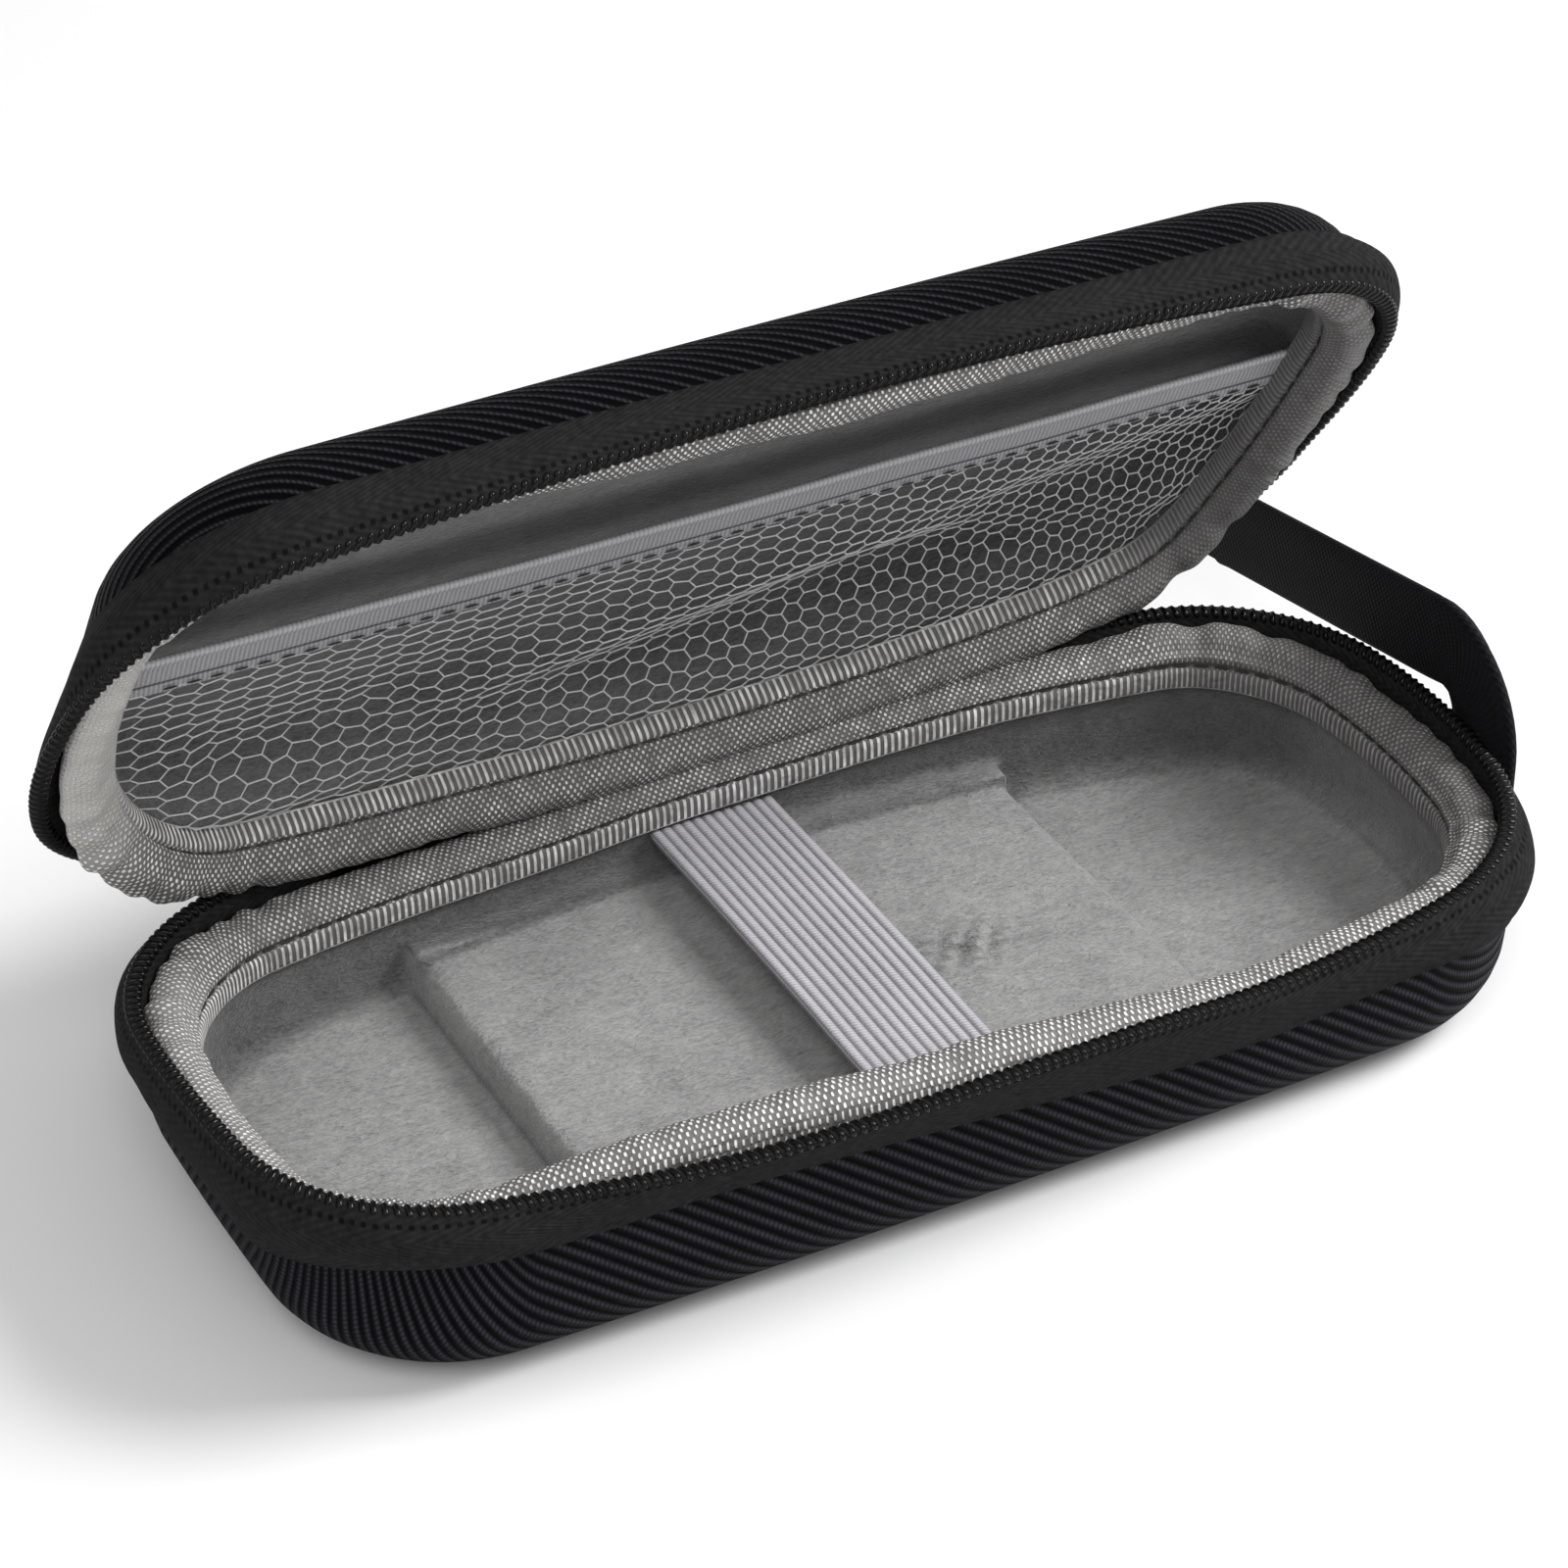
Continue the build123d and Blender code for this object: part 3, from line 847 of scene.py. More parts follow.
@dataclass(frozen=True)
class Webbing:
    """Tight black webbing with fine cross ribs."""

    light: Color = (0.011, 0.011, 0.014)
    dark: Color = (0.002, 0.002, 0.0028)
    rib: float = 1.15
    pick: float = 0.95
    depth: float = 0.16

    @lru_cache
    def material(self) -> bpy.types.Material:
        """The finish as a material."""
        r = Recipe("black_webbing")
        u, v = r.cloth()
        side = r.math("COSINE", r.math("MULTIPLY", u, 2 * math.pi / self.rib))
        down = r.math(
            "COSINE", r.math("MULTIPLY", r.math("MULTIPLY_ADD", u, 0.4, v), 2 * math.pi / self.pick)
        )
        weave = r.math("MULTIPLY_ADD", r.math("MULTIPLY", side, down), 0.5, 0.5)
        shade = r.math(
            "MULTIPLY", weave, r.math("MULTIPLY_ADD", r.noise(r.spot(), 7.0), 0.9, 0.4), clamp=True
        )
        return r.finish(
            r.mix(shade, self.dark, self.light), weave, self.depth, Roughness=0.72, Specular_IOR_Level=0.14
        )


@dataclass(frozen=True)
class PlainFinish:
    """Yarn, nylon or lacquer: one colour with a fine grain."""

    name: str
    color: Color
    shadow: Color
    roughness: float
    specular: float
    grain: float = 0.8
    depth: float = 0.03

    @lru_cache
    def material(self) -> bpy.types.Material:
        """The finish as a material."""
        r = Recipe(self.name)
        grain = r.noise(r.spot(), self.grain, 3.0)
        color = r.mix(grain, self.shadow, self.color)
        return r.finish(
            color, grain, self.depth, Roughness=self.roughness, Specular_IOR_Level=self.specular
        )


TWILL = RibbedTwill()
# The lid's twill has finer ribs and a dimmer painted highlight on their crests.
LID_TWILL = RibbedTwill(
    "lid_twill", crest=(0.031, 0.0305, 0.038), pitch=1.65, slant=math.radians(126), crispness=1.2
)
TAPE = Herringbone()
OXFORD = OxfordWeave()
VELVET = Velvet()
WEBBING = Webbing()
# The strap elastic's groove colour is painted shade between its ribs.
STRAP_ELASTIC = KnitElastic("strap_elastic", (0.62, 0.605, 0.64), (0.17, 0.165, 0.18), 20.0 / 12)
POCKET_ELASTIC = CrossKnit()
NET_YARN = PlainFinish("net_yarn", (0.82, 0.82, 0.83), (0.52, 0.52, 0.53), 0.6, 0.35)
COIL_NYLON = PlainFinish("coil_nylon", (0.004, 0.004, 0.0045), (0.002, 0.002, 0.002), 0.2, 0.2)
LACQUER = PlainFinish("black_lacquer", (0.016, 0.016, 0.018), (0.010, 0.010, 0.011), 0.34, 0.5, 2.5, 0.01)
DARK_THREAD = PlainFinish("dark_thread", (0.055, 0.055, 0.058), (0.025, 0.025, 0.027), 0.75, 0.25, 0.3)
Finish = RibbedTwill | Herringbone | OxfordWeave | Velvet | KnitElastic | CrossKnit | Webbing | PlainFinish


def dress(piece: Piece, finish: Finish, slot: str, body: str, *nodes: str) -> Piece:
    """Gives a piece its finish, its body and the nodes it stands for.

    Args:
        piece: the finished mesh.
        finish: what it is made of.
        slot: the record's material slot; not used.
        body: the body it moves with.
        nodes: the nodes that it replaces.

    Returns:
        The same piece.
    """
    piece.data.materials.clear()
    piece.data.materials.append(finish.material())
    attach(piece, body)
    if nodes:
        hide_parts(*nodes)
    LOG.info("%s: %d faces on %s", piece.name, len(piece.data.polygons), body)
    return piece


def paint(piece: Piece, values: Array) -> None:
    """Stores painted light and shade, one value for each point of a mesh."""
    layer = piece.data.attributes.new("painted_shading", "FLOAT", "POINT")
    layer.data.foreach_set("value", values.astype(np.float32))


def places_of(piece: Piece) -> Array:
    """A mesh's points in millimetres, one a row."""
    flat = np.empty(len(piece.data.vertices) * 3)
    piece.data.vertices.foreach_get("co", flat)
    return flat.reshape(-1, 3) / MM


def set_places(piece: Piece, points: Array) -> None:
    """Moves a mesh's points to places in millimetres."""
    piece.data.vertices.foreach_set("co", (points * MM).ravel())
    piece.data.update()


def thread_pattern(length: float, radius: float) -> Piece:
    """One stitch: a low round bead, drawn out along x.

    Args:
        length: the stitch's length in millimetres.
        radius: half the thread's thickness.

    Returns:
        The new object.
    """
    deselect()
    bpy.ops.mesh.primitive_uv_sphere_add(segments=8, ring_count=6, radius=radius * MM)
    bead = bpy.context.object
    edit(bead)
    bpy.ops.transform.resize(value=(length / (2 * radius), 1.0, 0.8))
    leave_edit()
    return bead


def stitch_row(name: str, path: Array, outward: Array, pitch: float, length: float, radius: float) -> Piece:
    """Row of stitches along a path.

    Args:
        name: the piece's name.
        path: places in millimetres along the seam.
        outward: the cloth's outward direction at each place.
        pitch: distance between stitches.
        length: length of one stitch.
        radius: half the thread's thickness.

    Returns:
        The new object.
    """
    walked = running_length(path)
    spots = np.arange(pitch / 2, walked[-1], pitch)
    point = np.stack([np.interp(spots, walked, path[:, k]) for k in range(3)], -1)
    ahead = np.stack([np.interp(spots + 0.2, walked, path[:, k]) for k in range(3)], -1)
    behind = np.stack([np.interp(spots - 0.2, walked, path[:, k]) for k in range(3)], -1)
    up = np.stack([np.interp(spots, walked, outward[:, k]) for k in range(3)], -1)
    places = [frame_matrix(p, a - b, u) for p, a, b, u in zip(point, ahead, behind, up)]
    return scatter(name, thread_pattern(length, radius), places)


# Lifts of the soft rolls and of the base's zip band, in millimetres, by distance from the middle of
# the back. They follow the photograph, where the sewn cloth stands unevenly.
LID_ROLL = np.array(
    [
        (-256.6, 4.2), (-234, 3.0), (-201, 0.6), (-170, 0.0),
        (-152, 1.2), (-140, 2.4), (-130, 3.0), (-120, 4.2),
        (-110, 6.3), (-100, 9.2), (-90, 11.3), (-78, 12.0),
        (-62, 11.9), (-40, 11.5), (40, 11.5), (65, 11.0),
        (80, 9.4), (90, 7.2), (100, 5.3), (110, 4.9), (120, 4.5),
        (130, 3.6), (150, 3.4), (170, 2.0), (188, 0.8),
        (207, 2.2), (235, 3.8),
    ]
)
BASE_ROLL = np.array(
    [
        (-256.6, 3.1), (-243, 3.3), (-228, 4.4), (-211, 4.7),
        (-203, 4.0), (-197, 3.6), (-192, 2.4), (-187, 1.6),
        (-176, 0.9), (-160, 0.6), (-130, 0.4), (-95, 0.5), (-67, 0.4), (-48, -0.2), (-28, -1.0), (-8, -0.2),
        (12, 0.2), (47, 2.1), (79, 2.0), (98, 0.9), (130, 0.4),
        (160, -0.3), (188, -1.2), (202, -1.8), (209, -2.2),
        (217, -1.5), (224, -1.1), (231, 0.4), (238, 1.2), (245, 1.9),
    ]
)
BASE_RIM = np.array(
    [
        (-256.6, 3.6), (-246, 3.4), (-228, 2.6), (-211, 2.3),
        (-200, 2.7), (-184, 3.4), (-172, 3.6), (-160, 3.8),
        (-148, 3.4), (-135, 2.6), (-120, 1.6), (-105, 0.6), (-85, 0),
        (85, 0), (150, 0.2), (175, 0.6), (190, -0.2),
        (212, 0.2), (220, 0.8), (227, 1.5), (234, 2.6), (248, 3.2),
    ]
)
BASE_FOOT = np.array(
    [
        (-256.6, 5.2), (-230, 7.0), (-208, 7.9), (-193, 7.6),
        (-177, 8.0), (-171, 7.7), (-165, 7.0), (-155, 4.3),
        (-143, 0), (-120, 0), (120, 0), (150, 0.5), (169, 2.2),
        (175, 3.6), (183, 4.2), (190, 3.7), (205, 2.6),
        (213, 2.1), (224, 2.3), (232, 2.9), (248, 4.4),
    ]
)


def eased(table: Array, way: Array, reach: float = 7.0) -> Array:
    """Reads a table kept round the zip line, rounded off between its rows.

    Args:
        table: rows of distance from the middle of the back and value.
        way: distances from the middle of the back.
        reach: how far the rounding takes in its neighbours.

    Returns:
        A value for each distance.
    """
    total = ZIP_LINE.total()
    shifts = np.linspace(-reach, reach, 9)
    return np.mean(
        [np.interp(way + shift, table[:, 0], table[:, 1], period=total) for shift in shifts], axis=0
    )


@dataclass(frozen=True)
class MouldedShell:
    """Foam shell moulded under twill cloth, open on one side."""

    half: Half
    node: str
    edge_z: float
    tongue_z: float
    edge_radius: float = 11.0
    wall: float = 3.0
    samples: int = 360

    def edge_heights(self, x: Array, y: Array) -> Array:
        """Height of the open edge above the flat face, deeper on the tongue at the hinge."""
        tongue = (1 - smoothstep(np.abs(x), TONGUE_HALF, TONGUE_HALF + 3.5)) * (y > 0)
        front = smoothstep(-y, 10, 30) if self.half is Half.BASE else 0.0
        return (
            self.edge_z
            + (self.tongue_z - self.edge_z) * tongue
            + (4.0 - 1.8 * smoothstep(x, -10, 40)) * front
        )

    def build(self) -> Piece:
        """Models the shell and dresses it.

        Returns:
            The finished piece.
        """
        places = SHELL.locate(np.linspace(0, SHELL.total(), self.samples, endpoint=False))
        rim, normals = SHELL.at(places)
        flat, _ = SHELL.at(places, -self.edge_radius)
        edge = self.edge_heights(rim[:, 0], rim[:, 1])
        inner_radius = self.edge_radius - self.wall
        columns, cloth = [], []

        def add(points: Array, z: float | Array, distance: float | Array) -> None:
            columns.append(upright(points, z))
            cloth.append(flat + normals * np.expand_dims(distance, -1))

        for share in np.linspace(0.02, 0.98, 12):
            columns.append(upright(flat * share, 0.0))
            cloth.append(flat * share)
        for angle in np.linspace(0, math.pi / 2, 10):
            outset = self.edge_radius * (math.sin(angle) - 1)
            add(
                SHELL.at(places, outset)[0],
                self.edge_radius * (1 - math.cos(angle)),
                self.edge_radius * angle
            )
        for share in np.linspace(0.1, 1.0, 9):
            rise = (edge - self.edge_radius) * share
            add(rim, self.edge_radius + rise, self.edge_radius * math.pi / 2 + rise)
        lining, _ = SHELL.at(places, -self.wall)
        for share in np.linspace(1.0, 0.0, 4):
            rise = (edge - self.edge_radius) * share
            add(lining, self.edge_radius + rise, self.edge_radius * math.pi / 2 + rise)
        for angle in np.linspace(math.pi / 2, 0, 6):
            outset = -self.wall + inner_radius * (math.sin(angle) - 1)
            add(SHELL.at(places, outset)[0], self.wall + inner_radius * (1 - math.cos(angle)), 0.0)
        for share in np.linspace(0.9, 0.02, 4):
            columns.append(upright(flat * share, self.wall))
            cloth.append(flat * share)
        rows = np.stack(columns, 1)
        uv = np.stack(cloth, 1)
        if self.half is Half.LID:
            rows = opened(rows * [1, 1, -1] + [0, 0, TOP_Z])
            uv = uv * [-1, 1]
        piece = lattice(
            f"{self.half.value}_cover", rows, np.concatenate([uv, uv[:1]]), ring=True, tube=False
        )
        close_holes(piece)
        finish = TWILL if self.half is Half.BASE else LID_TWILL
        return dress(piece, finish, "shell_cloth", self.half.value, self.node)


@dataclass(frozen=True)
class ZipHalf:
    """Woven band and nylon coil of one side of the zip."""

    half: Half
    height: float = 12.0
    thickness: float = 0.9
    seat: float = 0.35
    coil_drop: float = 0.75
    coil_out: float = 1.0
    coil_pitch: float = 1.5
    coil_across: float = 0.95
    coil_up: float = 0.45
    wire: float = 0.45
    samples: int = 420

    def line(self, count: int) -> tuple[Array, Array]:
        """Distances and places along the zip, from its left end to its right end at the back."""
        cut = ZIP_LINE.back_cut(ZIP_START)
        distance = np.linspace(cut, ZIP_LINE.total() - cut, count)
        return distance, ZIP_LINE.locate(distance)

    def flare(self, distance: Array) -> Array:
        """How far the free edge leans out, at the base's front and the lid's left end, or in."""
        way = from_back(distance)
        if self.half is Half.LID:
            return 4.2 * bump(way, -124.0, 30.0) - 4.2 * bump(way, 112.0, 24.0)
        front = distance - ZIP_LINE.total() / 2
        return 1.8 * bump(front, -14.0, 52.0) - 1.8 * bump(way, -132.0, 26.0) - 1.2 * bump(way, 158.0, 24.0)

    def rim_lift(self, distance: Array) -> Array:
        """How much higher the free edge stands along the front of the base."""
        return 0 * distance if self.half is Half.LID else eased(BASE_RIM, from_back(distance))

    def foot_lift(self, distance: Array) -> Array:
        """How much higher the sewn edge sits along the front of the base."""
        if self.half is Half.LID:
            return 3.9 - 2.6 * bump(from_back(distance), -118.0, 40.0)
        return eased(BASE_FOOT, from_back(distance), 5.0)

    def band_rows(self, distance: Array) -> Array:
        """Closed profile of the band at each distance, from the folded lower edge up and back down inside."""
        places = ZIP_LINE.locate(distance)
        lean, lift = self.flare(distance), self.foot_lift(distance)
        foot_z = RIM_Z - self.height + lift
        top_z = RIM_Z - self.coil_drop + self.rim_lift(distance)
        bulge_z = foot_z + 0.6 * (top_z - foot_z)
        outset = self.thickness + self.seat
        foot = SHELL.at(places, outset)[0]
        bulge = BAND.at(places, 0.45 * lean)[0]
        top = ZIP_LINE.at(places, self.coil_out + lean)[0]
        columns = [upright(SHELL.at(places, self.seat)[0], foot_z - 0.05)]
        columns.append(upright(SHELL.at(places, outset + 0.15)[0], foot_z - 0.25))
        for share in np.linspace(0, 1, 15):
            z = foot_z + 0.5 + (top_z - foot_z - 0.5) * share
            low = (z - bulge_z) * (z - top_z) / ((foot_z - bulge_z) * (foot_z - top_z))
            mid = (z - foot_z) * (z - top_z) / ((bulge_z - foot_z) * (bulge_z - top_z))
            high = (z - foot_z) * (z - bulge_z) / ((top_z - foot_z) * (top_z - bulge_z))
            columns.append(upright(foot * low[:, None] + bulge * mid[:, None] + top * high[:, None], z))
        for inset, drop, share in (
            (-0.3, -0.3, 1), (0.5, -0.15, 1), (1.1, 1.0, 0.9), (1.5, 2.8, 0.6), (1.6, 5.0, 0.2)
        ):
            drop = drop * np.clip((top_z - foot_z) / 11.0, 0.4, 1.0)
            columns.append(upright(ZIP_LINE.at(places, lean * share - inset)[0], top_z - drop))
        columns.append(
            upright(SHELL.at(places, self.seat)[0], np.maximum(RIM_Z - 8.6 + 0.35 * lift, foot_z + 0.6))
        )
        return np.stack(columns, 1)

    def build(self) -> tuple[Piece, Piece]:
        """Models the band and the coil and dresses them.

        Returns:
            The band and the coil.
        """
        name, body = self.half.value, self.half.value
        distance, places = self.line(self.samples)
        rows = self.band_rows(distance)
        sway = soft_noise(distance[:, None], 38.0, 5) * 0.18 + soft_noise(distance[:, None], 11.0, 6) * 0.07
        inner = np.ones(rows.shape[1])
        inner[:3] = 0
        inner[-7:] = 0
        _, normals = ZIP_LINE.at(places)
        rows[..., :2] += normals[:, None] * (sway[:, None] * inner)[..., None]
        around = np.append(running_length(rows[len(rows) // 2]), 40.0)
        around -= around[16]
        band = lattice(
            f"{name}_zip_band", self.half.place(rows), strip_uv(distance, around), ring=False, tube=True
        )
        dress(band, TAPE, "zip_tape", body, f"{name}_zip_tape")
        coil = self.coil()
        return band, dress(coil, COIL_NYLON, "zip_coil", body, f"{name}_zip_coil")

    def coil(self) -> Piece:
        """Continuous nylon coil, one turn for each tooth."""
        cut = ZIP_LINE.back_cut(ZIP_START)
        run = ZIP_LINE.total() - 2 * cut
        turns = round(run / self.coil_pitch)
        steps = 13
        phase = np.linspace(0, turns, turns * steps)
        distance = cut + phase / turns * run
        flat, normals = ZIP_LINE.at(ZIP_LINE.locate(distance))
        angle = phase * 2 * math.pi
        across = 0.1 + self.flare(distance) - self.coil_across * np.cos(angle)
        rise = self.coil_up * np.sin(angle)
        level = RIM_Z - TEETH_GAP - self.coil_up - self.wire + self.rim_lift(distance)
        path = upright(flat + normals * across[:, None], level + rise)
        outward = upright(-normals * np.cos(angle)[:, None], np.sin(angle))
        path, tip = self.half.place(path), self.half.place(path + outward)
        return tube_along(f"{self.half.value}_coil", path, tip - path, self.wire, 6)


@dataclass(frozen=True)
class Binding:
    """Padded grey binding folded over a rim, with its flange stitched to the inner wall."""

    half: Half
    seam_z: float
    flange: float = 3.8
    crown_z: float = -4.3
    groove_inset: float = 8.3
    samples: int = 620
    profile_points: int = 60
    stitch_pitch: float = 3.1

    def profile(self) -> Array:
        """Inset from the zip line and height of the roll, the stitched groove and the flange."""
        seam, end = self.seam_z, self.seam_z - self.flange
        slope = self.crown_z - 0.3 + 0.45 * (seam - self.crown_z + 0.3)
        drop = np.array(
            [
                (2.3, -7.0),
                (1.75, -5.9),
                (2.2, -4.9),
                (4.2, self.crown_z),
                (6.3, self.crown_z - 0.3),
                (7.9, slope),
                (8.75, seam + 0.95),
                (8.8, seam + 0.4),
                (self.groove_inset, seam),
                (8.85, seam - 0.45),
                (9.2, seam - 1.2),
                (9.3, end + 0.7),
                (9.1, end),
                (8.7, end + 0.1),
                (8.5, (seam + end) / 2),
                (7.9, seam - 0.6),
                (6.0, -7.4),
            ]
        )
        return curve_through(drop, self.profile_points)

    def lift(self, way: Array) -> Array:
        """How far the binding stands above its place on the rim, which is highest by the lid's fold."""
        return eased(LID_ROLL if self.half is Half.LID else BASE_ROLL, way)

    def outset(self, way: Array) -> Array:
        """How far the roll leans over the zip at the lid's left end, and is drawn in at its right end."""
        if self.half is Half.BASE:
            return 0 * way
        return 3.0 * bump(way, -120.0, 34.0) - 3.0 * bump(way, 112.0, 25.0)

    def rise(self, way: Array) -> tuple[Array, Array]:
        """How much higher and how much further inwards the roll is padded."""
        if self.half is Half.LID:
            return 0.6 - 0.6 * bump(way, 112.0, 40.0), 0.4 + 0 * way
        reach = np.abs(way)
        total = ZIP_LINE.total() / 2
        up = 2.2 * smoothstep(reach, 52, 88) + 1.5 * bump(reach, total, 60.0) - 1.5 * bump(way, 132.0, 38.0)
        return up, 0.4 + 2.0 * bump(reach, total, 75.0)

    def build(self) -> Piece:
        """Models the binding and its stitches and dresses them.

        Returns:
            The binding.
        """
        name = self.half.value
        distance = np.linspace(0, ZIP_LINE.total(), self.samples, endpoint=False)
        places = ZIP_LINE.locate(distance)
        flat, normals = ZIP_LINE.at(places)
        profile = self.profile()
        middle = np.array([5.4, -7.6])
        corner = (
            np.exp(-(((np.abs(flat[:, 0]) - 84) / 16) ** 2))
            * np.exp(-(((np.abs(flat[:, 1]) - 34) / 16) ** 2))
        )
        ring = np.stack([flat[:, 0], flat[:, 1]], -1)
        pleats = soft_noise(ring, 6.5, 21) * (0.05 + 0.10 * corner) + soft_noise(ring, 21.0, 22) * 0.045
        crest = np.clip((profile[:, 1] - self.seam_z) / (self.crown_z - self.seam_z), 0, 1)
        swell = 1 + pleats[:, None] * crest
        spread = middle + (profile - middle) * swell[..., None]
        way = from_back(distance)
        up, inwards = self.rise(way)
        spread[..., 1] += up[:, None] * crest
        spread[..., 0] += inwards[:, None] * crest * np.clip((profile[:, 0] - 3.0) / 4.0, 0, 1)
        lean = self.outset(way)[:, None]
        spread[..., 0] -= np.where(lean > 0, lean * np.clip((11.0 - profile[:, 0]) / 4.0, 0, 1), lean)
        points = flat[:, None] - normals[:, None] * spread[..., :1]
        back = np.abs(flat[:, 0]) < TONGUE_HALF + 3
        points[back, :, 1] = np.minimum(points[back, :, 1], BACK_LIMIT)
        end = self.seam_z - self.flange
        upper = np.clip((profile[:, 1] - end) / (self.crown_z - end), 0, 1)
        held = 0.75 * smoothstep(np.abs(way), 150, 190) if self.half is Half.BASE else 0 * way
        height = RIM_Z + spread[..., 1] + self.lift(way)[:, None] * (1 - held[:, None] * (1 - upper))
        rows = np.concatenate([points, height[..., None]], -1)
        length = running_length(profile)
        around = np.append(length, length[-1] + 3.7) - length[self.groove(profile)]
        uv = strip_uv(np.append(distance, ZIP_LINE.total()), around)
        piece = lattice(f"{name}_binding_tape", self.half.place(rows), uv, ring=True, tube=True)
        # Painted light and shade for each ring of the binding.
        paint(piece, np.repeat(self.light_and_shade(flat, way), rows.shape[1]))
        dress(piece, OXFORD, "binding", name, f"{name}_binding")
        self.stitches(rows, profile)
        return piece

    def groove(self, profile: Array) -> int:
        """Number of the profile's point at the bottom of the stitched groove."""
        return int(np.argmin(np.hypot(profile[:, 0] - self.groove_inset, profile[:, 1] - self.seam_z)))

    def light_and_shade(self, flat: Array, way: Array) -> Array:
        """Painted light and shade on the weave: pale where it turns across the light, at the left ends and
        along the fronts, and painted shade at the lid's far end and the base's right end.
        """
        if self.half is Half.LID:
            front = 0.35 * smoothstep(-flat[:, 1], 25, 42)
            return 0.95 * bump(way, -132.0, 40.0) + front - 0.75 * smoothstep(flat[:, 0], 55, 88) - 0.05
        left = 0.55 * smoothstep(-flat[:, 0], 72, 96)
        front = 0.45 * smoothstep(-flat[:, 1], 25, 42)
        right = 0.5 * smoothstep(flat[:, 0], 66, 84) * smoothstep(flat[:, 1], -34, -20)
        return np.maximum(left, front) - right - 0.05

    def stitches(self, rows: Array, profile: Array) -> Piece:
        """Dark stitches that hold the flange, in the groove of the profile."""
        seam = rows[:, self.groove(profile)]
        inwards = np.stack([-seam[:, 0] * 0.25, -seam[:, 1], np.zeros(len(seam))], -1)
        inwards /= np.linalg.norm(inwards, axis=1, keepdims=True)
        path = self.half.place(seam + inwards * 0.25)
        outward = self.half.place(seam + inwards) - self.half.place(seam)
        row = stitch_row(f"{self.half.value}_binding_stitches", path, outward, self.stitch_pitch, 2.4, 0.24)
        return dress(row, DARK_THREAD, "binding", self.half.value)


@dataclass(frozen=True)
class VelvetTray:
    """Velvet moulded over foam: two bays, the plateau between them and the ledge under the flange."""

    voxel: float = 0.75
    smoothing: int = 3

    def build(self) -> Piece:
        """Softens a copy of the moulded solid, ruffles it, paints shade on it and dresses it.

        Returns:
            The finished piece.
        """
        piece = copy_of("console_tray", "velvet_tray")
        modify(piece, "REMESH", mode="VOXEL", voxel_size=self.voxel * MM)
        modify(piece, "SMOOTH", factor=0.5, iterations=self.smoothing)
        piece.data.shade_smooth()
        points = places_of(piece)
        normals = np.array([v.normal for v in piece.data.vertices])
        ruffle = soft_noise(points, 9.0, 31) * 0.08 + soft_noise(points, 3.4, 32) * 0.05
        x, y, z = points.T
        patch = np.exp(-(((x - 20.5) / 9.5) ** 2) - ((y - 0.0) / 5.5) ** 2)
        rough = soft_noise(points[:, :2], 4.0, 41) + soft_noise(points[:, :2], 2.1, 42)
        dent = np.exp(-(((x + 32) / 4.5) ** 2) - ((y + 8.5) / 3.0) ** 2)
        set_places(piece, points + normals * (ruffle + patch * rough * 0.34 - dent * 0.5)[:, None])
        # Painted shade: walls facing forward and the walls at the ends, the ledge under the flange, the feet
        # of the walls and the right of the tray are darker; the colour is also darker over the ruffled patch
        # and in the dent.
        facing = (
            np.clip(-normals[:, 1], 0, 1)
            + (0.35 * np.clip(-normals[:, 0], 0, 1) + 0.2) * smoothstep(np.abs(x - 10), 62, 75)
        )
        wall_shade = 0.55 * np.clip(facing, 0, 1) * (1 - smoothstep(normals[:, 2], 0.72, 0.97))
        ledge = smoothstep(y, 33.6, 34.4) * smoothstep(z, 10.9, 11.3) * (0.56 - 0.2 * smoothstep(x, -12, 8))
        side = 0.05 + 0.06 * smoothstep(x, -55, 70)
        foot = (1 - smoothstep(z, 4.9, 6.4)) * (1 - smoothstep(normals[:, 2], 0.80, 0.985))
        shade = np.maximum(np.maximum(wall_shade, ledge), 0.5 * foot)
        paint(piece, -shade - side - 0.5 * patch * smoothstep(rough, -0.6, 0.9) - 0.14 * dent)
        dress(piece, VELVET, "velvet", "base", "console_tray")
        return piece


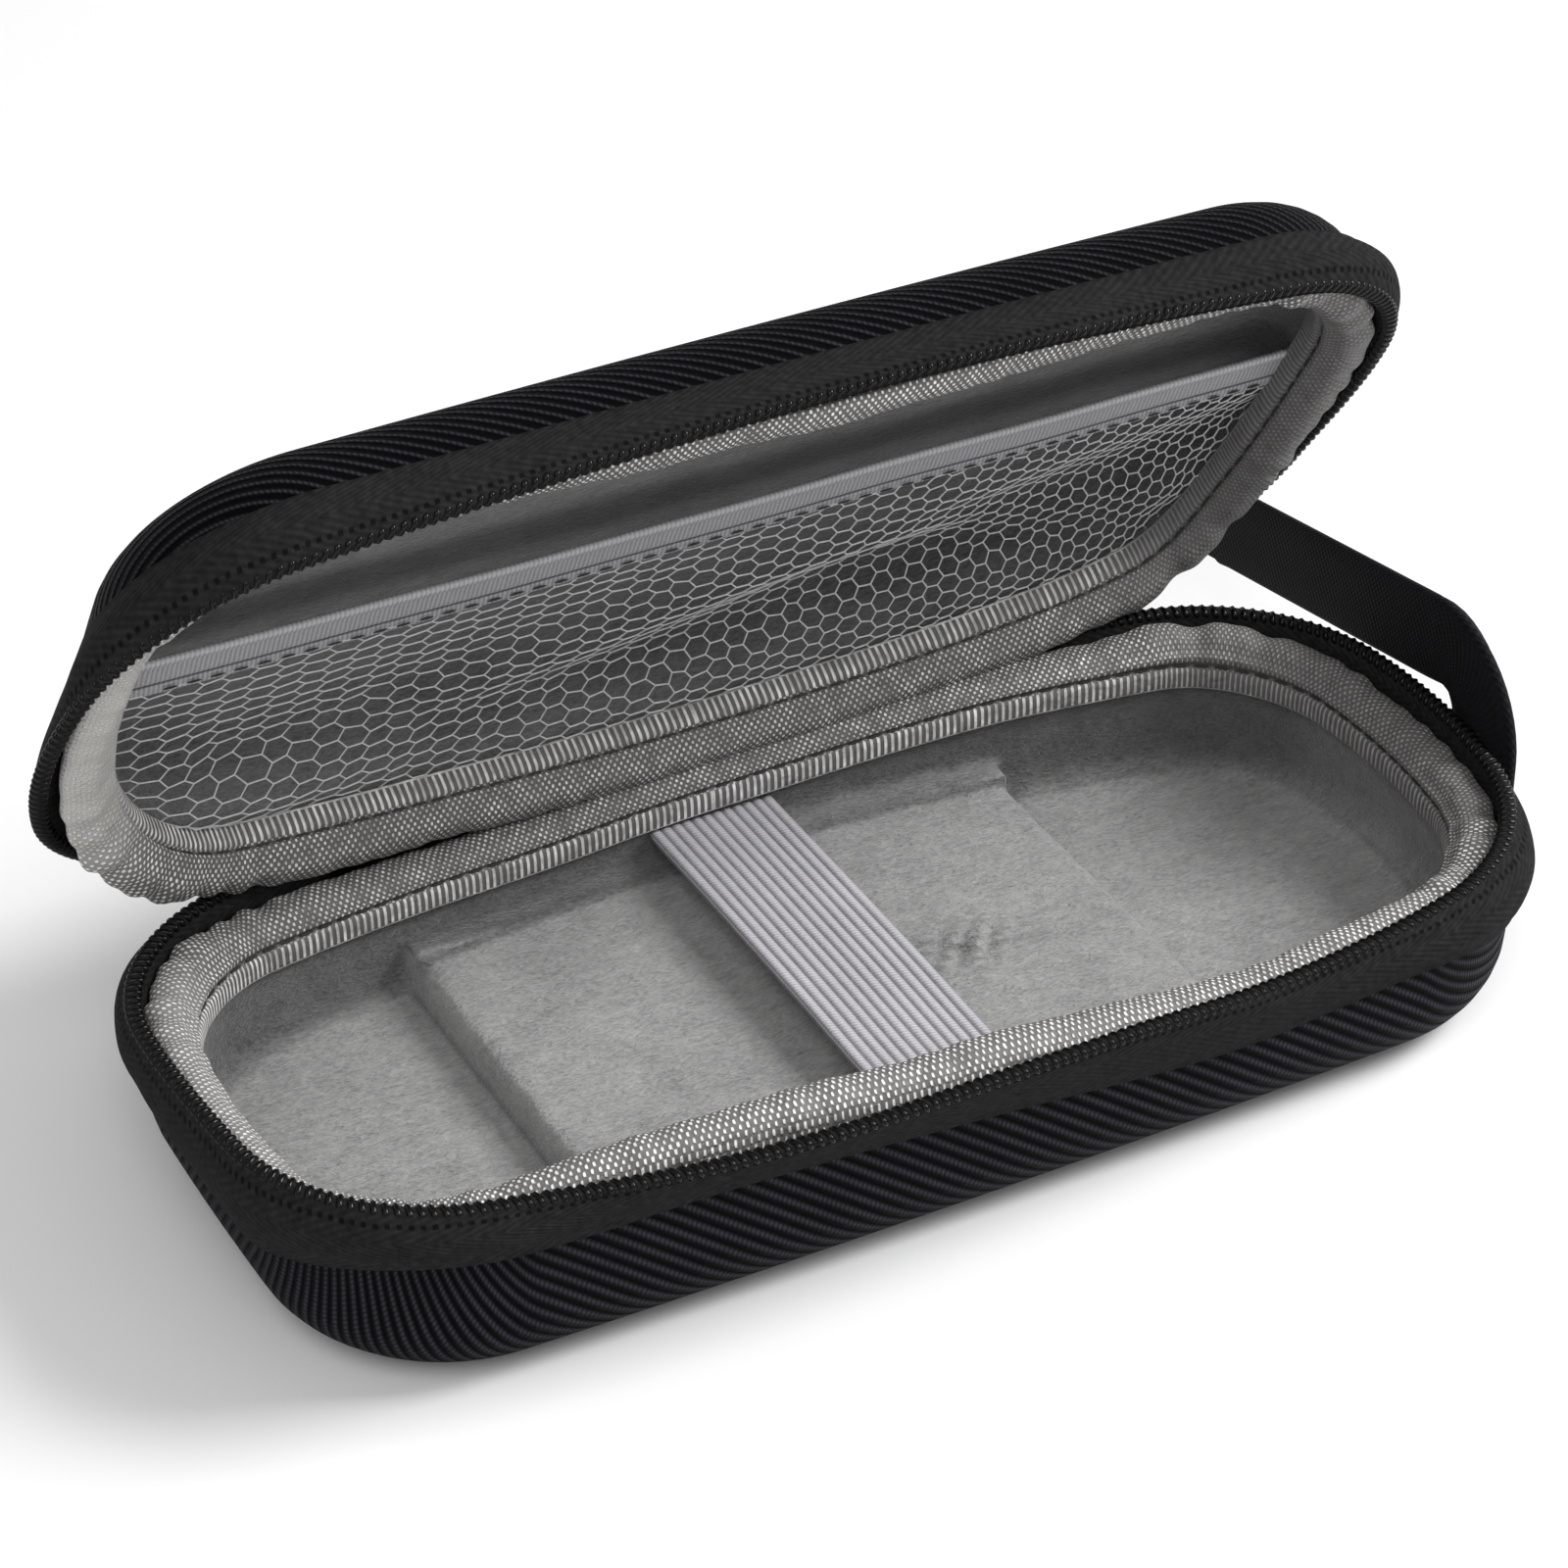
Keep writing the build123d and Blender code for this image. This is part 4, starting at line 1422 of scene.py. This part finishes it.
@dataclass(frozen=True)
class LidLining:
    """Velvet cup in the lid, whose wall runs down to the binding's flange."""

    binding: "Binding"
    inset: float = 8.1
    thickness: float = 0.6
    ceiling: float = 15.3
    corner: float = 4.5
    samples: int = 300

    def build(self) -> Piece:
        """Models the cup, paints shade on it and dresses it.

        Returns:
            The finished piece.
        """
        distance = np.linspace(0, ZIP_LINE.total(), self.samples, endpoint=False)
        places = ZIP_LINE.locate(distance)
        way = from_back(distance)
        edge = self.binding.seam_z - self.binding.flange + 0.7 + self.binding.lift(way)
        lean = 0.5 * self.binding.outset(way)
        top = -self.ceiling

        def ring(inset: float | Array, z: float | Array) -> Array:
            flat, _ = ZIP_LINE.at(places, -inset)
            flat[:, 1] = np.minimum(flat[:, 1], BACK_LIMIT - inset + 3.2)
            return upright(flat, RIM_Z + z)

        columns = [
            ring(self.inset + self.corner, top) * [share, share, 1] for share in np.linspace(0.02, 0.97, 30)
        ]
        for angle in np.linspace(0, math.pi / 2, 7):
            inset = self.inset + self.corner * (1 - math.sin(angle))
            columns.append(ring(inset, top + self.corner * (1 - math.cos(angle))))
        wall = top + self.corner
        columns += [
            ring(self.inset - lean * share, wall + (edge - wall) * share) for share in (0.3, 0.65, 1.0)
        ]
        outer = self.inset - self.thickness
        columns += [ring(outer - lean * share, wall + (edge - wall) * share) for share in (1.0, 0.0)]
        columns.append(ring(outer + 2.0, top - self.thickness))
        columns += [
            ring(
                self.inset + self.corner, top - self.thickness
            ) * [share, share, 1] for share in (0.9, 0.5, 0.02)
        ]
        rows = np.stack(columns, 1)
        rows[..., 2] += soft_noise(rows[..., :2], 26.0, 81) * 0.16
        uv = np.concatenate([rows[..., :2], rows[:1, :, :2]])
        piece = lattice("velvet_lining", Half.LID.place(rows), uv, ring=True, tube=False)
        close_holes(piece)
        # Painted shade: the lining under the lid's ceiling is dark, and darker towards the right.
        paint(piece, -0.36 - 0.22 * smoothstep(places_of(piece)[:, 0], -80, 60))
        dress(piece, VELVET, "velvet", "lid", "lid_lining")
        return piece


@dataclass(frozen=True)
class RetainingElastic:
    """Ribbed elastic drawn tight across the tray."""

    ribs: int = 12
    steps: int = 8
    rib_depth: float = 0.3
    rows: int = 70

    def build(self) -> Piece:
        """Models the elastic and dresses it.

        Returns:
            The finished piece.
        """
        low, high = (np.array(corner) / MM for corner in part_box("retaining_strap"))
        across = np.linspace(0, 1, self.ribs * self.steps + 1)
        crown = np.abs(np.sin(across * self.ribs * math.pi)) ** 0.55
        x = low[0] + (high[0] - low[0]) * across
        top = high[2] - self.rib_depth * (1 - crown)
        section = np.concatenate([np.stack([x, top], -1), [(high[0], low[2]), (low[0], low[2])]])
        y = np.linspace(low[1], high[1], self.rows)
        rows = np.stack(
            [np.stack([section[:, 0], np.full(len(section), place), section[:, 1]], -1) for place in y]
        )
        sway = soft_noise(y[:, None], 60.0, 51) * 0.12
        rows[..., 2] += sway[:, None]
        rows[..., 0] += (soft_noise(y[:, None], 45.0, 52) * 0.10)[:, None]
        width = high[0] - low[0]
        around = np.concatenate([across * width, [width + 1.3, 2 * width + 1.3, 2 * width + 2.6]])
        uv = np.stack(np.meshgrid(around, y, indexing="xy"), -1)
        piece = lattice("tray_elastic", rows, uv, ring=False, tube=True)
        dress(piece, STRAP_ELASTIC, "elastic", "base", "retaining_strap")
        return piece


@dataclass(frozen=True)
class NetPocket:
    """Net pocket in the lid: an elastic along its mouth, and a hexagonal net sewn to the flange."""

    binding: Binding
    mouth_y: float = -6.7
    mouth_rise: float = 8.3
    back_y: float = 38.6
    back_rise: float = 3.4
    elastic_width: float = 7.8
    elastic_thickness: float = 0.8
    edge_inset: float = 9.6
    net_edge_inset: float = 8.8
    cell_long: float = 4.6
    cell_tall: float = 2.6
    yarn: float = 0.31

    def spread(self, x: Array, across: Array, out: Array) -> Array:
        """Places on the pocket's slanted plane.

        Args:
            x: distance along the mouth.
            across: distance from the mouth towards the hinge.
            out: height over the plane, towards the lid's ceiling.

        Returns:
            The places on the open lid.
        """
        run = np.array([self.back_y - self.mouth_y, self.back_rise - self.mouth_rise])
        run /= np.linalg.norm(run)
        drawn = 2.0 * np.clip(-x / 90, 0, 1) ** 2 * (1 - np.clip(across / 30, 0, 1))
        y = self.mouth_y + across * run[0] - out * run[1] - drawn
        z = RIM_Z + self.mouth_rise + across * run[1] + out * run[0]
        return opened(np.stack([x, y, z], -1))

    def half_length(self, across: Array, inset: float) -> Array:
        """Half the pocket's length between its two ends at a distance from the mouth."""
        points, _ = ZIP_LINE.at(np.linspace(5.0, 9.0, 900), -inset)
        order = np.argsort(points[:, 1])
        return np.interp(self.mouth_y + across, points[order, 1], points[order, 0])

    def elastic(self) -> Piece:
        """Models the elastic at the mouth and dresses it."""
        half = self.elastic_thickness / 2
        width = np.linspace(0, self.elastic_width, 33)
        edge = np.sqrt(np.clip(1 - ((width - 0.75) / 0.8) ** 2, 0, 1))
        seam = bump(width, 5.7, 0.45)
        out = half - 0.3 + 0.3 * edge - 0.2 * seam
        section = np.concatenate([np.stack([width, -out], -1), [(self.elastic_width, half), (0.0, half)]])
        share = np.linspace(-1, 1, 190)
        reach = self.half_length(section[:, 0], self.edge_inset)
        x = share[:, None] * reach[None]
        sway = soft_noise(x[..., None] + 0 * section[:, 0][None, :, None], 60.0, 61) * 0.08
        rows = self.spread(x, np.broadcast_to(section[:, 0], x.shape), section[:, 1][None] + sway)
        around = np.concatenate([width, [self.elastic_width + 0.8, -0.8, 0.0]])
        uv = np.stack(np.meshgrid(around, share * reach.mean(), indexing="xy"), -1)
        piece = lattice("pocket_mouth_elastic", rows, uv, ring=False, tube=True)
        return dress(piece, POCKET_ELASTIC, "elastic", "lid", "pocket_elastic")

    def ripple(self, x: Array, across: Array) -> Array:
        """Slack of the net: diagonal folds that fade towards the elastic and the binding."""
        depth = self.back_y - self.mouth_y
        slack = np.sin(
            np.clip((across - self.elastic_width) / (depth - self.elastic_width), 0, 1) * math.pi
        ) ** 0.7
        main = across - 27.0 + 0.22 * x
        side = across - 24.0 - 0.10 * x + 2.0 * np.sin(x * 0.05)
        fold = np.sin(np.clip(main / 14, -1, 1) * math.pi)
        crease = np.sin(np.clip(side / 8, -1, 1) * math.pi) * smoothstep(x, -10, 40)
        roll = np.sin(x * 0.045 + across * 0.08 + 2.0)
        return slack * (1.6 * fold + 0.9 * crease + 0.4 * roll + 0.6)

    def gathered(self, x: float) -> float:
        """Draws the cells together towards the right end of the pocket."""
        return 0.91 * x - 0.0015 * x * x + 4.0

    def hang(self, flat: Array) -> Array:
        """Height that brings the net's rim to the flange it is sewn to.

        Args:
            flat: distance along the mouth and distance from the mouth, one point a row.

        Returns:
            A height over the pocket's plane for each point.
        """
        distance = np.linspace(0, ZIP_LINE.total(), 600, endpoint=False)
        rim, _ = ZIP_LINE.at(ZIP_LINE.locate(distance), -self.edge_inset)
        spots = flat + [0, self.mouth_y]
        gaps = np.linalg.norm(spots[:, None] - rim[None], axis=2)
        nearest = gaps.argmin(1)
        plane = (
            self.mouth_rise
            + (self.back_rise - self.mouth_rise) * flat[:, 1] / (self.back_y - self.mouth_y)
        )
        sewn = (
            self.binding.flange
            - self.binding.seam_z
            - 0.4
            - self.binding.lift(from_back(distance))[nearest]
        )
        near = 1 - smoothstep(gaps.min(1), 1.0, 13.0)
        return (sewn - plane) * near * smoothstep(flat[:, 1], self.elastic_width, self.elastic_width + 8)

    def net(self) -> Piece:
        """Models the knitted hexagons and dresses them."""
        column_step = 0.75 * self.cell_long
        depth = self.back_y - self.mouth_y + 0.9
        corner = [(0.5, 0.0), (0.25, 0.5), (-0.25, 0.5), (-0.5, 0.0), (-0.25, -0.5), (0.25, -0.5)]
        points: dict[tuple[int, int], int] = {}
        places: list[tuple[float, float]] = []
        faces: list[list[int]] = []
        for column in range(-int(92 / column_step), int(124 / column_step)):
            for row in range(int(depth / self.cell_tall) + 2):
                x = self.gathered(column * column_step)
                across = self.elastic_width + 0.9 + (row + 0.5 * (column % 2)) * self.cell_tall
                end = self.half_length(np.array([across]), self.net_edge_inset)[0]
                if across > depth or not -end - 4.2 < x < end + 0.6:
                    continue
                face = []
                for along, tall in corner:
                    spot = (column * column_step + along * self.cell_long, across + tall * self.cell_tall)
                    key = (round(spot[0] * 20), round(spot[1] * 20))
                    spot = (self.gathered(spot[0]), spot[1])
                    if key not in points:
                        points[key] = len(places)
                        places.append(spot)
                    face.append(points[key])
                faces.append(face)
        flat = np.array(places)
        wander = np.stack([soft_noise(flat, 9.0, 71), soft_noise(flat, 9.0, 72)], -1) * 0.22
        flat = flat + wander
        rows = self.spread(flat[:, 0], flat[:, 1], self.ripple(flat[:, 0], flat[:, 1]) + self.hang(flat))
        piece = new_mesh("pocket_net", rows, faces)
        modify(piece, "WIREFRAME", thickness=self.yarn * MM, use_even_offset=False, use_boundary=True)
        piece.data.shade_smooth()
        return dress(piece, NET_YARN, "pocket_net", "lid", "mesh_pocket")

    def hem(self) -> Piece:
        """Stitches that hold the net to the elastic."""
        x = np.linspace(-86, 86, 240)
        across = np.full_like(x, self.elastic_width - 1.2)
        path = self.spread(x, across, np.full_like(x, -self.elastic_thickness / 2 - 0.05))
        outward = self.spread(x, across, np.full_like(x, -2.0)) - path
        row = stitch_row("pocket_hem_stitches", path, outward, 3.4, 2.3, 0.2)
        return dress(row, DARK_THREAD, "pocket_net", "lid")

    def build(self) -> None:
        """Models and dresses the whole pocket."""
        net = self.net()
        pieces = [self.elastic(), self.hem()]
        flat = (
            2 * self.half_length(np.array([0.0]), self.edge_inset)[0] * MM,
            (self.back_y - self.mouth_y) * MM
        )


@dataclass(frozen=True)
class HingeCloth:
    """Black cloth strip that carries the lid, from wall to wall over the fold."""

    thickness: float = 1.0
    reach: float = 12.0
    half_length: float = 63.0
    columns: int = 18
    samples: int = 90

    def build(self) -> Piece:
        """Models the strip, gives it the tape's finish and hides the hinge panel.

        Returns:
            The finished piece.
        """
        lid_run = np.array([math.sin(OPEN_ANGLE), math.cos(OPEN_ANGLE)])
        fold = np.array([HINGE_Y, HINGE_Z])
        key = np.array(
            [
                fold - [0, self.reach],
                fold - [0, 4.0],
                fold - [0, 1.2],
                fold + lid_run * 1.2,
                fold + lid_run * 4,
                fold + lid_run * self.reach
            ]
        )
        line = curve_through(key, self.columns)
        run = np.gradient(line, axis=0)
        run /= np.linalg.norm(run, axis=1, keepdims=True)
        side = np.stack([run[:, 1], -run[:, 0]], -1) * self.thickness / 2
        section = np.concatenate([line + side, (line - side)[::-1]])
        x = np.linspace(-self.half_length, self.half_length, self.samples)
        rows = np.stack([np.column_stack([np.full(len(section), place), section]) for place in x])
        rows[..., 1] += 2.6 * smoothstep(np.abs(x), TONGUE_HALF, TONGUE_HALF + 4)[:, None]
        around = np.append(running_length(section), running_length(section)[-1] + self.thickness)
        piece = lattice("hinge_strip", rows, strip_uv(x, around), ring=False, tube=True)
        piece.data.materials.append(TAPE.material())
        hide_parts("hinge_panel")
        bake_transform(piece)
        LOG.info("%s: %d faces across the fold", piece.name, len(piece.data.polygons))
        return piece


@dataclass(frozen=True)
class ZipPull:
    """Slider and hanging tab at one end of the zip."""

    side: str
    soft_edge: float = 0.22

    def build(self) -> None:
        """Rounds copies of the slider and its tab and dresses them."""
        for kind, slot, body in (
            ("zip_slider", "slider", "base"), ("pull_tab", "pull_tab", f"pull_tab_{self.side}")
        ):
            node = f"{kind}_{self.side}"
            piece = copy_of(node, f"{node}_cast")
            modify(
                piece,
                "BEVEL",
                width=self.soft_edge * MM,
                segments=2,
                limit_method="ANGLE",
                angle_limit=math.radians(40)
            )
            activate(piece)
            bpy.ops.object.shade_smooth_by_angle(angle=math.radians(50))
            dress(piece, LACQUER, slot, body, node)


@dataclass(frozen=True)
class WristLoop:
    """Webbing folded to a loop and sewn into the right end of the base."""

    width: float = 14.0
    thickness: float = 1.4
    near_x: float = 102.2
    far_x: float = 104.6
    tip_radius: float = 7.2
    root_y: float = -9.5
    root_z: float = 15.6
    bend: float = 11.0
    corner_z: float = 38.0
    far_drop: float = 2.2
    far_shift: float = 4.2
    open_y: float = 66.0
    tip_y: float = 97.5
    tip_z: float = 15.0

    def path(self) -> tuple[Array, Array]:
        """Middle line of the webbing and its outward directions, from root to root."""
        slope = (self.tip_z - self.corner_z) / (self.tip_y + self.tip_radius + 2.1 - self.root_y)

        def height(y: Array) -> Array:
            return self.corner_z + slope * (y - self.root_y)

        lean = math.atan(slope)
        turn = np.linspace(math.pi, math.pi / 2 + lean, 14)
        centre = np.array(
            [self.root_y + self.bend, height(self.root_y + self.bend) - self.bend / math.cos(lean)]
        )
        bend = centre + self.bend * np.stack([np.cos(turn), np.sin(turn)], -1)
        rise = np.linspace(self.root_z, bend[0, 1], 10, endpoint=False)
        root = np.stack([np.full_like(rise, self.root_y), rise], -1)
        straight = np.linspace(bend[-1, 0], self.open_y, 30)[1:]
        leg = np.concatenate([root, bend, np.stack([straight, height(straight)], -1)])
        spread_y = np.linspace(self.open_y, self.tip_y, 16)[1:]
        share = (spread_y - self.open_y) / (self.tip_y - self.open_y)
        near = np.concatenate(
            [
                np.column_stack([np.full(len(leg), self.near_x), leg]),
                np.column_stack([np.full(len(spread_y), self.near_x), spread_y, height(spread_y)]),
            ]
        )
        angle = np.linspace(math.pi, 0, 20)[1:-1]
        tip_x = self.near_x + self.tip_radius + self.tip_radius * np.cos(angle)
        tip_y = self.tip_y + self.tip_radius * np.sin(angle)
        tip = np.column_stack([tip_x, tip_y, height(tip_y)])
        far_x = self.far_x + (self.near_x + 2 * self.tip_radius - self.far_x) * share
        far = np.concatenate(
            [
                np.column_stack([np.full(len(leg), self.far_x), leg]),
                np.column_stack([far_x, spread_y, height(spread_y)]),
            ]
        )[::-1]
        ease = 1 - smoothstep(far[:, 1], self.open_y, self.tip_y)
        upright_share = 1 - smoothstep(far[:, 1], self.root_y, self.root_y + 2 * self.bend)
        far[:, 2] -= self.far_drop * ease
        far[:, 1] += self.far_shift * upright_share
        path = np.concatenate([near, tip, far])
        run = np.gradient(path, axis=0)
        plan = np.stack([-run[:, 1], run[:, 0], np.zeros(len(run))], -1)
        steep = np.linalg.norm(run[:, :2], axis=1) < 0.35 * np.linalg.norm(run, axis=1)
        half = len(path) // 2
        plan[steep & (np.arange(len(path)) < half)] = (-1, 0, 0)
        plan[steep & (np.arange(len(path)) >= half)] = (1, 0, 0)
        return path, plan / np.linalg.norm(plan, axis=1, keepdims=True)

    def build(self) -> Piece:
        """Models the loop and dresses it.

        Returns:
            The finished piece.
        """
        path, outward = self.path()
        run = np.gradient(path, axis=0)
        run /= np.linalg.norm(run, axis=1, keepdims=True)
        outward = outward - np.sum(outward * run, 1, keepdims=True) * run
        outward /= np.linalg.norm(outward, axis=1, keepdims=True)
        upward = np.cross(run, outward)
        w, t = self.width / 2, self.thickness / 2
        section = np.array(
            [(w - 0.4, t), (w, t * 0.4), (w, -t * 0.4), (w - 0.4, -t), (w / 3, -t), (-w / 3, -t)]
            + [(-w + 0.4, -t), (-w, -t * 0.4), (-w, t * 0.4), (-w + 0.4, t), (-w / 3, t), (w / 3, t)]
        )
        rows = path[:, None] + upward[:, None] * section[:, :1] + outward[:, None] * section[:, 1:]
        closed = np.concatenate([section, section[:1]])
        around = running_length(closed)
        uv = np.stack(np.meshgrid(around, running_length(path), indexing="xy"), -1)
        piece = lattice("wrist_webbing", rows, uv, ring=False, tube=True)
        dress(piece, WEBBING, "webbing", "base", "wrist_strap")
        return piece


@dataclass(frozen=True)
class Studio:
    """Pale floor, soft lamps and the camera of the photograph."""

    azimuth: float = math.radians(-28.26)
    elevation: float = math.radians(34.7)
    distance: float = 705.6
    target: tuple[float, float, float] = (5.12, 26.31, 27.5)
    lens: float = 113.1
    sensor: float = 36.0
    floor_color: Color = (0.88, 0.88, 0.88)
    world_color: Color = (1.0, 1.0, 1.0)
    world_strength: float = 0.50

    def camera(self) -> None:
        """Sets the camera."""
        flat = math.cos(self.elevation)
        back = Vector(
            (math.sin(self.azimuth) * flat, -math.cos(self.azimuth) * flat, math.sin(self.elevation))
        )
        data = bpy.data.cameras.new("photo_camera")
        data.lens = self.lens
        data.sensor_width = self.sensor
        data.clip_start = 0.01
        eye = bpy.data.objects.new("photo_camera", data)
        eye.location = (Vector(self.target) + back * self.distance) * MM
        eye.rotation_euler = back.to_track_quat("Z", "Y").to_euler()
        bpy.context.scene.collection.objects.link(eye)
        bpy.context.scene.camera = eye

    def lamp(self, name: str, place: Color, size: float, power: float) -> None:
        """Adds a square soft lamp that faces the case, with its place and size in metres."""
        data = bpy.data.lights.new(name, "AREA")
        data.size = size
        data.energy = power
        lamp = bpy.data.objects.new(name, data)
        lamp.location = place
        aim = Vector(place) - Vector(self.target) * MM
        lamp.rotation_euler = aim.to_track_quat("Z", "Y").to_euler()
        bpy.context.scene.collection.objects.link(lamp)

    def floor(self) -> None:
        """Adds the floor."""
        deselect()
        bpy.ops.mesh.primitive_grid_add(x_subdivisions=4, y_subdivisions=4, size=12.0)
        plane = bpy.context.object
        plane.name = "studio_floor"
        recipe = Recipe("pale_floor")
        mottle = recipe.noise(recipe.spot(), 400.0)
        shade = recipe.mix(mottle, self.floor_color, tuple(min(1.0, c + 0.02) for c in self.floor_color))
        plane.data.materials.append(recipe.finish(shade, None, 0.0, Roughness=0.9, Specular_IOR_Level=0.1))

    def world(self) -> None:
        """Lights the room evenly."""
        world = bpy.data.worlds.new("studio")
        world.use_nodes = True
        ground = world.node_tree.nodes["Background"]
        ground.inputs["Color"].default_value = (*self.world_color, 1.0)
        ground.inputs["Strength"].default_value = self.world_strength
        bpy.context.scene.world = world

    def build(self) -> None:
        """Sets up the studio."""
        bpy.context.scene.view_settings.view_transform = "Standard"
        self.floor()
        self.world()
        self.camera()
        self.lamp("key", (0.95, -0.30, 0.85), 0.55, 17.0)
        self.lamp("fill", (-0.60, -0.75, 1.20), 1.0, 7.0)


def main() -> None:
    """Builds every sub-assembly in order and reports each piece."""
    logging.basicConfig(level=logging.INFO, format="%(name)s %(message)s")
    MouldedShell(Half.BASE, "base_shell", 20.2, 20.2).build()
    MouldedShell(Half.LID, "lid_shell", 12.2, 21.2).build()
    ZipHalf(Half.BASE).build()
    ZipHalf(Half.LID).build()
    Binding(Half.BASE, -6.9).build()
    lid_binding = Binding(Half.LID, -8.1)
    lid_binding.build()
    LidLining(lid_binding).build()
    VelvetTray().build()
    RetainingElastic().build()
    NetPocket(lid_binding).build()
    HingeCloth().build()
    for side in ("left", "right"):
        ZipPull(side).build()
    WristLoop().build()
    Studio().build()
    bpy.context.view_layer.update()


if __name__ == "__main__":
    main()
